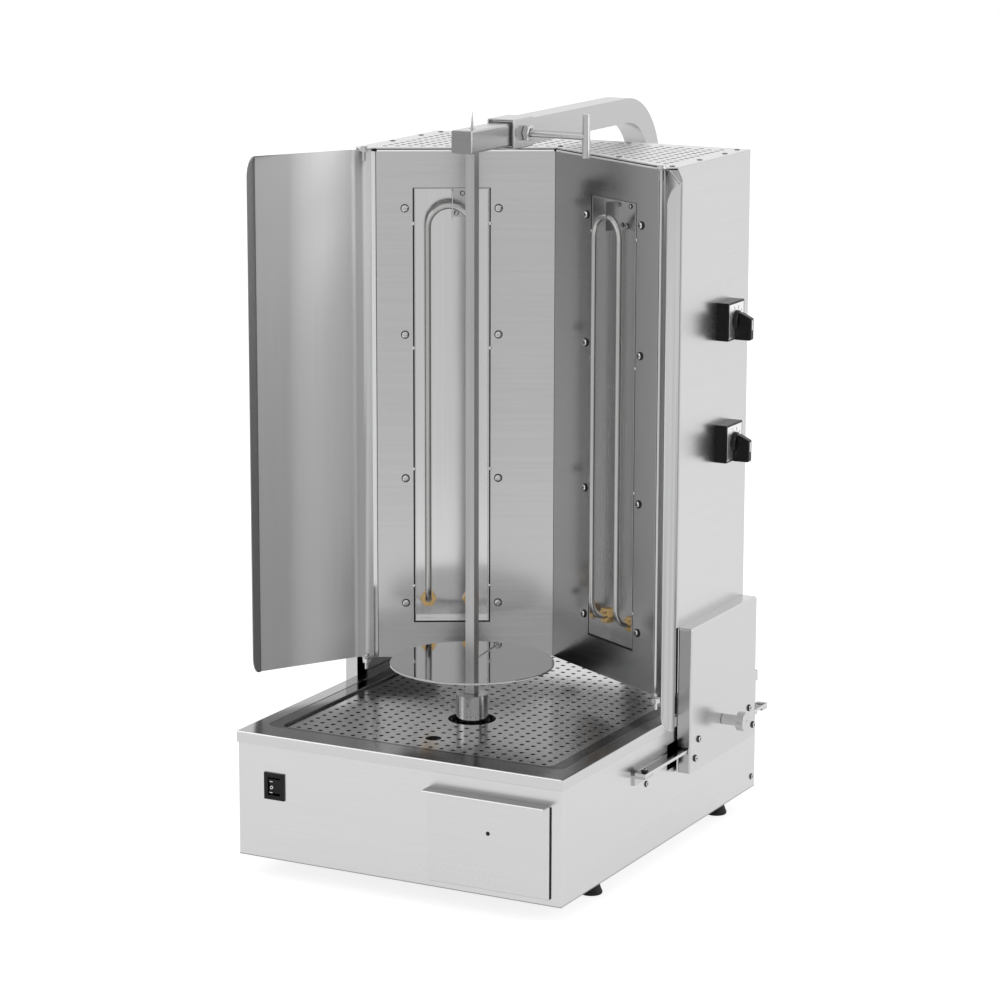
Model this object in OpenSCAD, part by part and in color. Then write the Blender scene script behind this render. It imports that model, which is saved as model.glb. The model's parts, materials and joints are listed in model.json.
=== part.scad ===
// Upright electric skewer grill with a sliding heater housing.
// Millimetres, Z up, front towards -Y, origin on the worktop under the middle of the base.

/* [Base] */
// Width of the base rim
rim_w = 450; // [420:1:520]
// Depth of the base rim
rim_d = 570; // [560:1:640]
// Height of the rim's top above the worktop
rim_top = 184; // [180:1:200]
// Height of the rim's folded edge
rim_fold = 14; // [8:1:18]
// Sheet thickness of the base
base_sheet = 1.5; // [1:0.1:2]
// Height of the rubber feet
foot_h = 26; // [20:1:28]
// Radius of a foot where it stands
foot_r = 14; // [12:0.5:18]
// Side margin of the rim around the pan
rim_side = 20; // [16:1:24]
// Front margin of the rim before the pan
rim_front = 37; // [32:1:44]
// Rear margin of the rim behind the pan
rim_rear = 20; // [16:1:130]

/* [Pan and grate] */
// Height of the pan's floor
pan_floor_z = 150; // [146:1:156]
// Width of the pan's lip at the sides
pan_lip = 17.5; // [12:0.5:20]
// Sheet thickness of the pan
pan_sheet = 1.2; // [0.8:0.1:1.5]
// Thickness of the grate
grate_t = 1.5; // [1:0.1:2]
// Spacing of the perforations
perf_pitch = 15.5; // [12:0.5:20]
// Radius of a perforation
perf_r = 3; // [2:0.1:4]
// Radius of the hole around the drive coupling
grate_hole_r = 30; // [26:1:36]
// Radius of the finger hole
finger_hole_r = 10; // [8:0.5:12]

/* [Drive] */
// Distance of the skewer axis in front of the base's middle
skewer_ahead = 90; // [80:1:110]
// Radius of the drive coupling
coupling_r = 20; // [18:0.5:22]
// Height of the coupling's top
coupling_top = 213.6; // [211:0.2:216]
// Radius of the drive shaft
shaft_r = 7; // [5:0.5:9]
// Width of the gear motor
motor_w = 80; // [70:1:90]

/* [Skewer] */
// Side of the square skewer bar
bar_side = 12; // [10:0.5:13]
// Height of the skewer's tip
skewer_tip = 938; // [934:1:950]
// Radius of the meat disc
disc_r = 102.5; // [90:0.5:110]
// Height of the meat disc's top
disc_top = 254; // [250:1:260]
// Thickness of the meat disc
disc_t = 3; // [2:0.5:4]
// Width of the disc's radial slit
slit_w = 3; // [2:0.5:4]
// Direction of the slit about the axis, from +X
slit_ang = 97.5; // [80:0.5:110]

/* [Drawer] */
// Width of the drawer front
drawer_w = 164; // [150:1:170]
// Height of the drawer front
drawer_h = 116; // [108:1:118]
// Middle of the drawer across the base
drawer_x = 126; // [122:1:130]
// Height of the drawer front's lower edge
drawer_z = 34; // [32:1:36]
// Reach of the drawer front's bent lip
drawer_lip = 16; // [12:1:24]
// Depth of the drawer tray
tray_d = 290; // [240:5:300]
// Sheet thickness of the drawer
drawer_sheet = 1.2; // [0.8:0.1:1.5]

/* [Rocker switch] */
// Width of the switch bezel
rocker_w = 28.5; // [24:0.5:30]
// Height of the switch bezel
rocker_h = 34; // [32:0.5:40]
// Middle of the switch across the base
rocker_x = -171.2; // [-180:0.2:-120]
// Height of the switch's middle
rocker_z = 119.5; // [100:0.5:130]

/* [Arm] */
// Side of the square arm tube
arm_side = 32; // [30:0.5:34]
// Wall of the arm tube
arm_wall = 1.5; // [1:0.1:2]
// Height of the arm's level run
arm_z = 904; // [900:1:920]
// Middle of the upright post, behind the base's middle
post_y = 392; // [386:1:410]
// Bend radius of the arm's centre line
arm_bend_r = 85; // [70:1:95]
// Height of the arm's lower run
arm_low_z = 100; // [90:1:110]
// Wall of the sleeve around the arm's end
sleeve_wall = 2.3; // [1.5:0.1:3]
// Length of the sleeve
sleeve_len = 53; // [40:1:60]
// Front end of the sleeve
sleeve_front = -17; // [-22:1:-14]
// Side of the sliding inner tube
slider_side = 28; // [27:0.5:28.5]
// Reach of the sliding tube in front of the skewer axis
slider_reach = 28; // [22:1:40]
// Radius of the clamp screw
clamp_r = 5; // [4:0.5:6]
// Reach of the clamp screw to the middle of its handle bar
clamp_reach = 102; // [90:1:120]
// Length of the clamp's handle bar
t_bar_len = 54; // [46:1:56]

/* [Slide] */
// Width of a rail bar
rail_w = 14; // [12:0.5:16]
// Thickness of a rail bar
rail_t = 4; // [3:0.5:5]
// Height of the rail's top
rail_top = 141.5; // [138:0.5:144]
// Front end of the rail
rail_start = -90; // [-100:1:-86]
// Depth of a side cover, across the grill
cover_d = 18.5; // [17:0.5:22]
// Front face of the right side cover
cover_front = 33; // [28:1:38]
// Front face of the left side cover
cover_front_left = 14; // [12:1:30]
// Height of the side covers' lower edge
cover_bottom = 109.5; // [106:0.5:112]
// Height of the side covers' upper edge
cover_top = 297; // [280:1:310]

/* [Heater housing] */
// Half of the housing's width
side_x = 224.5; // [222:0.5:224.5]
// Front edge of the side panels
side_front = 31; // [28:1:34]
// Rear face of the housing
house_back = 232; // [226:1:236]
// Height of the housing's lower edge
house_bottom = 211; // [208:1:212]
// Height of the burner panels' upper edge
panel_top = 868; // [862:1:868]
// Underside of the top plate
lid_z = 871.5; // [870:0.5:872]
// Thickness of the top plate
lid_t = 1.5; // [1:0.1:2]
// Sheet thickness of the housing
house_sheet = 1.2; // [0.8:0.1:1.5]
// Where the two burner panels meet
vertex_y = 132; // [128:1:136]
// Angle of a burner panel to the housing's back
panel_ang = 29.5; // [28:0.5:30]
// Width of a burner panel
panel_w = 226.7; // [224:0.1:228]

/* [Heating elements] */
// Distance of a window from the middle corner
window_near = 81.5; // [78:0.5:84]
// Width of a window
window_w = 99; // [96:0.5:102]
// Height of the windows' lower edge
window_z = 256; // [250:1:262]
// Height of a window
window_h = 566; // [556:1:572]
// Depth of the reflector tray
reflector_d = 18.5; // [17:0.5:22]
// Radius of an element's tube
element_r = 4; // [3.5:0.25:4.5]
// Half of the space between an element's legs
element_half = 27.5; // [25:0.5:29]
// How far an element stands in front of the panel
element_out = 8; // [6:0.5:10]
// Bend radius at an element's feet
element_foot_r = 20; // [18:0.5:20]

/* [Wings] */
// Width of the wing's main panel
wing_w = 136.4; // [120:1:145]
// Width of the wing's outer lip
wing_lip = 26.6; // [22:0.2:30]
// Angle of the wing's hinge strip at rest
wing_ang = 47; // [40:0.5:50]
// Turn from the hinge strip to the main panel
wing_bend = 12.4; // [8:0.2:15]
// Turn from the main panel to the lip
wing_lip_bend = 41.3; // [35:0.1:45]
// Radius of the lip's rounded corners
wing_round = 24; // [15:1:26]
// Hinge pin radius
pin_r = 2.5; // [2:0.25:3]

/* [Switches] */
// Side of a rotary switch's square body
switch_side = 48; // [40:1:50]
// Depth of a rotary switch's body
switch_d = 16; // [12:1:20]
// Height of the upper switch
switch_high_z = 667; // [640:1:700]
// Height of the lower switch
switch_low_z = 512; // [480:1:540]
// Middle of the switches along the side panel
switch_y = 160; // [120:1:190]

/* [Hidden] */

$fn = 48;
// Overrun of every cut
cut = 1;
// Clearance between turning or sliding faces
fit = 0.05;
// Clearance between loose neighbours
slack = 0.3;

// Base body
rim_gap = 0.5;
body_w = rim_w - 2 * (base_sheet + rim_gap);
body_d = rim_d - 2 * (base_sheet + rim_gap);
shell_top = rim_top - base_sheet;
floor_top = foot_h + base_sheet;
rim_ledge = 5;
well_front = -rim_d / 2 + rim_front;
well_back = rim_d / 2 - rim_rear;
well_w = rim_w - 2 * rim_side;
well_round = 12;
foot_taper = 3;
foot_top_r = foot_r - foot_taper;
foot_side_in = 30;
foot_front_in = 139;
foot_back_in = 62;
foot_x = rim_w / 2 - foot_side_in;
foot_front_y = -rim_d / 2 + foot_front_in;
foot_back_y = rim_d / 2 - foot_back_in;
foot_places = [[foot_x, foot_front_y], [-foot_x, foot_front_y], [foot_x, foot_back_y], [-foot_x, foot_back_y]];
foot_bolt_r = 4;
foot_bolt_from = 8;
foot_bolt_above = 2;
nut_af = 13;
nut_h = 6;

// Rail slots in the base walls
wall_slot_front = 9;
wall_slot_back = 215;
wall_slot_low = 118;
wall_slot_high = 151;

// Pan and grate
pan_gap = 0.5;
pan_front_lip = 6;
pan_step = 8;
pan_round = 10;
grate_sunk = 3.4;
grate_top = rim_top - grate_sunk;
grate_gap = 0.5;
collar_r = 13;
collar_wall = 2;
collar_top = 178;
drain_x = drawer_x;
drain_y = -170;
drain_r = 12;
drain_wall = 1.5;
drain_drop = 6;
perf_margin = 15;
finger_hole_y = -190;
skewer_y = -skewer_ahead;

// Drive
coupling_low = 168;
socket_clear = 1.1;
socket_floor = 198.6;
skirt_wall = 6;
skirt_top = 186;
shaft_low = 92;
shaft_top = 196;
gearbox_low = 62;
gearbox_top = 112;
gearbox_boss_r = 15;
gearbox_boss_h = 6;
motor_can_r = 24;
motor_can_len = 90;
bracket_t = 3;
bracket_w = 110;
bracket_foot = 17;
motor_bolt_r = 3;
motor_bolt_at = 30;
motor_bolt_deep = 12;
motor_bolt_head = 4;
motor_bolt_af = 10;

// Drawer
drawer_gap = 0.3;
drawer_front_t = 1.7;
drawer_lip_t = 1.5;
drawer_hole_r = 2;
drawer_hole_up = 70;
mouth_side = 6;
mouth_low = 6;
mouth_high = 8;
tray_side = 16;
tray_up = 8;
tray_z = drawer_z + tray_up;
tray_h = 70;
runner_t = 1.5;
runner_gap = 0.5;
runner_ledge = 12;
runner_len = 270;
runner_h = 30;

// Rocker switch
bezel_t = 2.2;
rocker_body_margin = 3;
rocker_body_d = 25;
rocker_wall = 2.5;
rocker_back = 3;
rocker_r = (rocker_h - 2 * rocker_body_margin) / 2 - rocker_wall - slack;
rocker_pivot = 6;
rocker_dish = 5;
rocker_edge_share = 0.766;
rocker_lip_share = 0.643;
rocker_pin_r = 1.5;
rocker_pin_in = 1;

// Arm
sleeve_over = 5;
arm_front = sleeve_front + sleeve_over;
arm_bend_y = post_y - arm_bend_r;
arm_clear = 0.3;
flange_side = 90;
flange_t = 4;
flange_bolt_at = 35;
flange_bolt_r = 4;
flange_bolt_af = 13;
flange_bolt_head = 5;
flange_bolt_in = 12;
saddle_len = 40;
saddle_w = 90;
saddle_t = 3;
saddle_back_in = 71;
saddle_y = body_d / 2 - saddle_back_in;
saddle_bolt_x = 37;
arm_end_over = 7;
arm_end_y = saddle_y - arm_end_over;
clamp_y = 13.4;
clamp_nut_af = 14;
clamp_nut_t = 4.5;
clamp_pad_t = 2;
slider_wall = 1.5;
slider_back = 60;
slider_hole_r = 10.5;
slider_top_hole_r = 4;
bush_r = 10;
bush_h = 12;
bush_pin_r = 2;
journal_r = 4;
journal_half = 8;
neck_h = 6;
point_r = 2.15;
tip_r = 0.3;
socket_air = 1.9;
skewer_foot = socket_floor + socket_air;

// Slide
rail_off = 3;
rail_x = body_w / 2 + rail_off;
rail_back = rim_d / 2 - rail_off;
rail_bracket_len = 24;
rail_bracket_rear_len = 16;
rail_bracket_t = 3;
rail_bracket_h = 12.5;
rail_screw_r = 4.5;
rail_screw_h = 4;
rail_screw_back = 13;
wall_screw_h = 2.2;
wall_screw_r = 4;
wall_screw_back = 39;
wall_screw_in = 10;
wall_screw_high = 117;
wall_screw_low = 41;
wall_screws = [[rail_start + wall_screw_back, wall_screw_high], [rail_back - wall_screw_in, wall_screw_low]];
cover_gap = 1;
cover_in = side_x + cover_gap;
cover_out = cover_in + cover_d;
cover_sheet = 1.2;
cover_slot_up = 2;
cover_slot_down = 1.5;
plate_t = 3;
plate_gap = 1.5;
plate_low = rail_top + plate_gap;
plate_high = 290;
block_low = 124;
block_high = 158;
block_len = 26;
block_front = 40;
block_back = 228;
block_slot_gap = 0.2;
lock_y = 131;
lock_z = 158;
lock_rod_r = 4;
lock_pad_r = 6;
lock_pad_t = 2.2;
lock_nut_af = 17;
lock_nut_t = 8;
lock_shaft_r = 7;
lock_shaft_len = 21.6;
lock_cap_r = 12.5;
lock_cap_t = 11;
lock_dimple_r = 2;
lock_dimple_d = 1.5;
cover_screw_r = 4.5;
cover_screw_h = 3;
cover_screw_in = 8;
cover_screws_at = [[57, 150], [47, 127.5], [213, 152], [225.5, 126.5]];
screw_shank_r = 2;

// Housing
outer_x = panel_w * cos(panel_ang);
outer_y = vertex_y - panel_w * sin(panel_ang);
return_ang = atan2(side_front - outer_y, side_x - outer_x);
return_len = norm([side_x - outer_x, side_front - outer_y]);
gusset_drop = 17;
gusset_reach = 15;
pin_x = 207.2;
pin_y = 7;
ear_r = 6;
panel_flange = 12;
vent_r = 3.5;
vent_pitch = 15;
vent_column = 14;
vent_side_in = 18;
vent_back_in = 25;
vent_front_in = 14;
cable_hole_r = 12;

// Elements, in the frame of a window seen from the front
leg_left = 19;
leg_right = leg_left + 2 * element_half;
element_top = 548;
element_arc_z = element_top - element_r - element_half;
element_foot_z = 28;
tray_gap_side = 1.5;
tray_gap_end = 0.8;
gland_af = 19;
gland_t = 6;
gland_r = 7;
gland_behind = 10;
gland_nut_t = 5;
element_tail = 34;
holder_x = 49.6;
holder_w = 22.4;
holder_z = 527;
holder_h = 36;
holder_t = 1.5;
fin_t = 1.2;
fin_reach = 5;
holder_screws = [[6.3, 5], [13.8, 30]];
holder_screw_r = 3.2;
holder_screw_h = 2;
panel_screw_r = 5;
panel_screw_h = 3;
panel_screw_in = 8;
panel_screw_side = 10;
panel_screw_z = [26, 191, 378, 540];
rivet_r = 2.2;
rivet_h = 0.8;
rivet_z = [48.4, 203, 360.6, 520.6];

// Wings
wing_gap = 0.4;
wing_sheet = 1.2;
strip_in = 11.2;
strip_out = 16.1;
strip_back = 4.1;
wing_low = house_bottom + wing_gap;
wing_high = lid_z - wing_gap;
wing_ear_r = 5.5;
wing_ear_t = 1.5;
top_pin_len = 16;
top_pin_head_r = 4.5;
top_pin_head_h = 3;
low_pin_drop = 15;
low_pin_head_r = 3.7;
low_pin_head_h = 3.2;
low_pin_nut_af = 10;
low_pin_nut_t = 5;

// Switches
switch_neck_r = 10.5;
switch_rear_side = 40;
switch_rear_d = 38;
spindle_r = 3;
spindle_len = 9;
knob_disc_r = 13;
knob_disc_t = 5;
knob_bar_w = 11;
knob_bar_len = 34;
knob_bar_d = 18;
knob_gap = 0.5;

gland_x = -150;
gland_z = 60;
gland_body_r = 8;
gland_bore_r = 4;
gland_nut_side = 22;
gland_out = 22;
gland_in = 12;
gland_plate = 6;

// A pair of places moved by one distance
function at(middle, pair) = [for (p = pair) middle + p];
module slab(x, y, z) { translate([x[0], y[0], z[0]]) cube([x[1] - x[0], y[1] - y[0], z[1] - z[0]]); }
module rod_x(r, x, y, z) { translate([x[0], y, z]) rotate([0, 90, 0]) cylinder(r = r, h = x[1] - x[0]); }
module rod_y(r, x, y, z) { translate([x, y[1], z]) rotate([90, 0, 0]) cylinder(r = r, h = y[1] - y[0]); }
module rod_z(r, x, y, z) { translate([x, y, z[0]]) cylinder(r = r, h = z[1] - z[0]); }
module hexagon(af, h) { cylinder(r = af / sqrt(3), h = h, $fn = 6); }
module both_sides() { children(); mirror([1, 0, 0]) children(); }

// Pan head: a disc with a smaller raised middle
module pan_head(r, h) {
    crown_share = 0.65;
    cylinder(r = r, h = h * crown_share);
    translate([0, 0, h * crown_share]) cylinder(r1 = r, r2 = r * crown_share, h = h * (1 - crown_share));
}
module head_x(r, h, x, y, z) { translate([x, y, z]) rotate([0, 90, 0]) pan_head(r, h); }

// Plate with round corners, between two corner points
module round_plate(x, y, z, r) {
    translate([0, 0, z[0]]) linear_extrude(z[1] - z[0]) union() {
        translate([x[0] + r, y[0]]) square([x[1] - x[0] - 2 * r, y[1] - y[0]]);
        translate([x[0], y[0] + r]) square([x[1] - x[0], y[1] - y[0] - 2 * r]);
        for (px = [x[0] + r, x[1] - r], py = [y[0] + r, y[1] - r]) translate([px, py]) circle(r = r);
    }
}

// Base
module base_shell() {
    hw = body_w / 2;
    hd = body_d / 2;
    color("gainsboro") difference() {
        slab([-hw, hw], [-hd, hd], [foot_h, shell_top]);
        slab([-hw + base_sheet, hw - base_sheet], [-hd + base_sheet, hd - base_sheet],
            [foot_h - cut, shell_top - base_sheet]);
        round_plate([-well_w / 2 + rim_ledge, well_w / 2 - rim_ledge],
            [well_front + rim_ledge, well_back - rim_ledge],
            [shell_top - base_sheet - cut, shell_top + cut], well_round);
        slab([drawer_x - drawer_w / 2 + mouth_side, drawer_x + drawer_w / 2 - mouth_side],
            [-hd - cut, -hd + base_sheet + cut], [drawer_z + mouth_low, drawer_z + drawer_h - mouth_high]);
        slab(at(rocker_x, [-rocker_w / 2 + rocker_body_margin, rocker_w / 2 - rocker_body_margin]),
            [-hd - cut, -hd + base_sheet + cut],
            at(rocker_z, [-rocker_h / 2 + rocker_body_margin, rocker_h / 2 - rocker_body_margin]));
        slab([-hw - cut, hw + cut], [wall_slot_front, wall_slot_back], [wall_slot_low, wall_slot_high]);
        slab([-arm_side / 2 - arm_clear, arm_side / 2 + arm_clear], [hd - base_sheet - cut, hd + cut],
            [arm_low_z - arm_side / 2 - arm_clear, arm_low_z + arm_side / 2 + arm_clear]);
        for (px = [-1, 1] * flange_bolt_at, pz = [-1, 1] * flange_bolt_at)
            rod_y(flange_bolt_r, px, [hd - base_sheet - cut, hd + cut], arm_low_z + pz);
        rod_y(gland_body_r, gland_x, [hd - base_sheet - cut, hd + cut], gland_z);
    }
}

module base_floor() {
    hw = body_w / 2 - base_sheet;
    hd = body_d / 2 - base_sheet;
    color("silver") difference() {
        slab([-hw, hw], [-hd, hd], [foot_h, floor_top]);
        for (p = foot_places) rod_z(foot_bolt_r, p[0], p[1], [foot_h - cut, floor_top + cut]);
        for (px = [-1, 1] * saddle_bolt_x)
            rod_z(foot_bolt_r, px, saddle_y + saddle_len / 2, [foot_h - cut, floor_top + cut]);
    }
}

module top_rim() {
    color("gainsboro") difference() {
        slab([-rim_w / 2, rim_w / 2], [-rim_d / 2, rim_d / 2], [rim_top - rim_fold, rim_top]);
        slab([-rim_w / 2 + base_sheet, rim_w / 2 - base_sheet],
            [-rim_d / 2 + base_sheet, rim_d / 2 - base_sheet],
            [rim_top - rim_fold - cut, rim_top - base_sheet]);
        round_plate([-well_w / 2, well_w / 2], [well_front, well_back],
            [rim_top - base_sheet - cut, rim_top + cut], well_round);
    }
}

// Pan: lip on the rim's ledge, a step for the grate, then the well
pan_x = well_w / 2 - pan_gap;
pan_front = well_front + pan_gap;
pan_back = well_back - pan_gap;
bowl_x = pan_x - pan_lip;
bowl_front = pan_front + pan_front_lip;
bowl_back = pan_back - pan_lip;
grate_low = grate_top - grate_t;
module drip_pan() {
    t = pan_sheet;
    color("lightgray") difference() {
        union() {
            round_plate([-pan_x, pan_x], [pan_front, pan_back], [shell_top, shell_top + t], well_round);
            round_plate([-bowl_x - t, bowl_x + t], [bowl_front - t + slack, bowl_back + t],
                [grate_low - t, shell_top + t], pan_round);
            round_plate([-bowl_x + pan_step - t, bowl_x - pan_step + t],
                [bowl_front + pan_step - t, bowl_back - pan_step + t], [pan_floor_z - t, grate_low],
                    pan_round);
            rod_z(drain_r + drain_wall, drain_x, drain_y, [pan_floor_z - t - drain_drop, pan_floor_z]);
        }
        round_plate([-bowl_x, bowl_x], [bowl_front + slack, bowl_back],
            [grate_low, shell_top + t + cut], pan_round);
        difference() {
            round_plate([-bowl_x + pan_step, bowl_x - pan_step], [bowl_front + pan_step, bowl_back - pan_step],
                [pan_floor_z, grate_low + cut], pan_round);
            rod_z(collar_r, 0, skewer_y, [pan_floor_z - cut, collar_top]);
        }
        rod_z(collar_r - collar_wall, 0, skewer_y, [pan_floor_z - t - cut, collar_top + cut]);
        rod_z(drain_r, drain_x, drain_y, [pan_floor_z - t - drain_drop - cut, pan_floor_z + cut]);
    }
}

grate_x = bowl_x - grate_gap;
grate_front = bowl_front + slack + grate_gap;
grate_back = bowl_back - grate_gap;
perf_cols = floor((grate_x - perf_margin) / perf_pitch);
perf_rows = floor((grate_back - grate_front - 2 * perf_margin) / perf_pitch);
module grate() {
    color("darkgray") translate([0, 0, grate_low]) linear_extrude(grate_t) difference() {
        union() {
            translate([-grate_x + pan_round, grate_front])
                square([2 * (grate_x - pan_round), grate_back - grate_front]);
            translate([-grate_x, grate_front + pan_round])
                square([2 * grate_x, grate_back - grate_front - 2 * pan_round]);
            for (px = [-1, 1] * (grate_x - pan_round), py = [grate_front + pan_round, grate_back - pan_round])
                translate([px, py]) circle(r = pan_round);
        }
        translate([0, skewer_y]) circle(r = grate_hole_r);
        translate([0, finger_hole_y]) circle(r = finger_hole_r);
        for (i = [-perf_cols : perf_cols], j = [0 : perf_rows]) {
            p = [i * perf_pitch, grate_front + perf_margin + j * perf_pitch];
            if (norm(p - [0, skewer_y]) > grate_hole_r + 2 * perf_r
                && norm(p - [0, finger_hole_y]) > finger_hole_r + 2 * perf_r)
                translate(p) circle(r = perf_r, $fn = 16);
        }
    }
}

module rubber_feet() {
    color([0.1, 0.1, 0.1]) for (p = foot_places) translate([p[0], p[1], 0]) difference() {
        cylinder(r1 = foot_r, r2 = foot_top_r, h = foot_h);
        translate([0, 0, foot_bolt_from]) cylinder(r = foot_bolt_r, h = foot_h);
    }
}

module foot_bolts() {
    color("silver") for (p = foot_places) translate([p[0], p[1], 0]) {
        translate([0, 0, foot_bolt_from]) cylinder(r = foot_bolt_r,
            h = floor_top + nut_h + foot_bolt_above - foot_bolt_from);
        translate([0, 0, floor_top]) hexagon(nut_af, nut_h);
    }
}

// Rocker switch on the front wall
rocker_y = -body_d / 2;
rocker_axis_y = rocker_y + rocker_pivot;
rocker_half_w = rocker_w / 2 - rocker_body_margin;
rocker_half_h = rocker_h / 2 - rocker_body_margin;
module rocker_housing() {
    color([0.08, 0.08, 0.08]) difference() {
        union() {
            slab(at(rocker_x, [-rocker_w / 2, rocker_w / 2]), [rocker_y - bezel_t, rocker_y],
                at(rocker_z, [-rocker_h / 2, rocker_h / 2]));
            slab(at(rocker_x, [-rocker_half_w, rocker_half_w]), [rocker_y - cut, rocker_y + rocker_body_d],
                at(rocker_z, [-rocker_half_h, rocker_half_h]));
        }
        slab(at(rocker_x, [-rocker_half_w + rocker_wall, rocker_half_w - rocker_wall]),
            [rocker_y - bezel_t - cut, rocker_y + rocker_body_d - rocker_back],
            at(rocker_z, [-rocker_half_h + rocker_wall, rocker_half_h - rocker_wall]));
        pin_end = rocker_half_w - rocker_wall + rocker_pin_in;
        rod_x(rocker_pin_r + fit, at(rocker_x, [-pin_end, pin_end]), rocker_axis_y, rocker_z);
    }
}

module rocker_button() {
    half = rocker_half_w - rocker_wall - slack;
    edge = rocker_r * rocker_lip_share;
    lip = rocker_r * rocker_edge_share;
    color([0.12, 0.12, 0.12]) translate([rocker_x, rocker_axis_y, rocker_z]) rotate([90, 0, 90]) {
        translate([0, 0, -half]) linear_extrude(2 * half) difference() {
            circle(r = rocker_r);
            polygon([[-edge, lip], [-rocker_dish, 0], [-edge, -lip], [-2 * rocker_r, -lip],
                [-2 * rocker_r, lip]]);
        }
        translate([0, 0, -half - rocker_pin_in]) cylinder(r = rocker_pin_r, h = 2 * (half + rocker_pin_in));
    }
}

// Drive train under the pan
module gear_motor() {
    color("dimgray") difference() {
        union() {
            slab([-motor_w / 2, motor_w / 2], at(skewer_y, [-motor_w / 2, motor_w / 2]),
                [gearbox_low, gearbox_top]);
            rod_z(gearbox_boss_r, 0, skewer_y, [gearbox_top - cut, gearbox_top + gearbox_boss_h]);
            rod_y(motor_can_r, 0, at(skewer_y + motor_w / 2, [-cut, motor_can_len]),
                (gearbox_low + gearbox_top) / 2);
        }
        rod_z(shaft_r + fit, 0, skewer_y, [shaft_low - slack, gearbox_top + gearbox_boss_h + cut]);
        for (px = [-1, 1] * motor_bolt_at, py = [-1, 1] * motor_bolt_at)
            rod_z(motor_bolt_r, px, skewer_y + py, [gearbox_top - motor_bolt_deep, gearbox_top + cut]);
    }
}

module motor_bracket() {
    hw = bracket_w / 2;
    y = at(skewer_y, [-motor_w / 2, motor_w / 2]);
    color("silver") difference() {
        union() {
            slab([-hw, hw], y, [gearbox_top, gearbox_top + bracket_t]);
            both_sides() slab([hw - bracket_t, hw], y, [floor_top, gearbox_top + bracket_t]);
            both_sides() slab([hw - bracket_foot, hw], y, [floor_top, floor_top + bracket_t]);
        }
        rod_z(gearbox_boss_r, 0, skewer_y, [gearbox_top - cut, gearbox_top + bracket_t + cut]);
        for (px = [-1, 1] * motor_bolt_at, py = [-1, 1] * motor_bolt_at)
            rod_z(motor_bolt_r, px, skewer_y + py, [gearbox_top - cut, gearbox_top + bracket_t + cut]);
    }
}

module drive_shaft() { color("silver") rod_z(shaft_r, 0, skewer_y, [shaft_low, shaft_top]); }

module drive_coupling() {
    half = bar_side / 2 + socket_clear;
    color("gainsboro") difference() {
        rod_z(coupling_r, 0, skewer_y, [coupling_low, coupling_top]);
        rod_z(coupling_r - skirt_wall, 0, skewer_y, [coupling_low - cut, skirt_top]);
        rod_z(shaft_r, 0, skewer_y, [skirt_top - cut, shaft_top]);
        slab([-half, half], at(skewer_y, [-half, half]), [socket_floor, coupling_top + cut]);
    }
}

// Drawer
drawer_face = -body_d / 2 - drawer_gap;
tray_x = [drawer_x - drawer_w / 2 + tray_side, drawer_x + drawer_w / 2 - tray_side];
module drawer_front() {
    x = [drawer_x - drawer_w / 2, drawer_x + drawer_w / 2];
    y = drawer_face - drawer_front_t;
    top = drawer_z + drawer_h;
    color("gainsboro") difference() {
        union() {
            slab(x, [y, drawer_face], [drawer_z, top]);
            slab(x, [y - drawer_lip, y + drawer_front_t], [top - drawer_lip_t, top]);
        }
        rod_y(drawer_hole_r, drawer_x, [y - cut, drawer_face + cut], drawer_z + drawer_hole_up);
    }
}

module drawer_tray() {
    t = drawer_sheet;
    color("silver") difference() {
        slab(tray_x, [drawer_face, drawer_face + tray_d], [tray_z, tray_z + tray_h]);
        slab(tray_x + [t, -t], [drawer_face + t, drawer_face + tray_d - t],
            [tray_z + t, tray_z + tray_h + cut]);
    }
}

module drawer_runners() {
    y = at(-body_d / 2 + base_sheet, [runner_t, runner_len]);
    low = floor_top;
    shelf = tray_z - slack;
    color("darkgray") difference() {
        for (side = [0, 1]) {
            edge = tray_x[side] + (side == 0 ? -runner_gap : runner_gap);
            wall = side == 0 ? [edge - runner_t, edge] : [edge, edge + runner_t];
            ledge = side == 0 ? [edge - runner_t, edge + runner_ledge]
                : [edge - runner_ledge, edge + runner_t];
            slab(wall, y, [low, low + runner_h]);
            slab(ledge, y, [low, low + runner_t]);
            slab(ledge, y, [shelf - runner_t, shelf]);
        }
        rod_z(nut_af / sqrt(3) + cut, foot_x, foot_front_y, at(low, [-cut, nut_h + foot_bolt_above + cut]));
    }
}

// Arm: two level runs, two bends and the post
module arm_path(side, over) {
    h = side / 2;
    low_y = arm_bend_y;
    slab([-h, h], [arm_front - over, arm_bend_y], [arm_z - h, arm_z + h]);
    slab([-h, h], [arm_end_y - over, low_y], [arm_low_z - h, arm_low_z + h]);
    slab([-h, h], [post_y - h, post_y + h], [arm_low_z + arm_bend_r, arm_z - arm_bend_r]);
    translate([0, arm_bend_y, arm_z - arm_bend_r]) rotate([90, 0, 90])
        rotate_extrude(angle = 90, $fn = 96) translate([arm_bend_r - h, -h]) square(side);
    translate([0, low_y, arm_low_z + arm_bend_r]) rotate([90, 0, 90]) rotate([0, 0, -90])
        rotate_extrude(angle = 90, $fn = 96) translate([arm_bend_r - h, -h]) square(side);
}

module arm_tube() {
    color("silver") difference() {
        arm_path(arm_side, 0);
        arm_path(arm_side - 2 * arm_wall, cut);
        rod_x(clamp_r + slack, [arm_side / 2 - arm_wall - cut, arm_side / 2 + cut], clamp_y, arm_z);
    }
}

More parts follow.
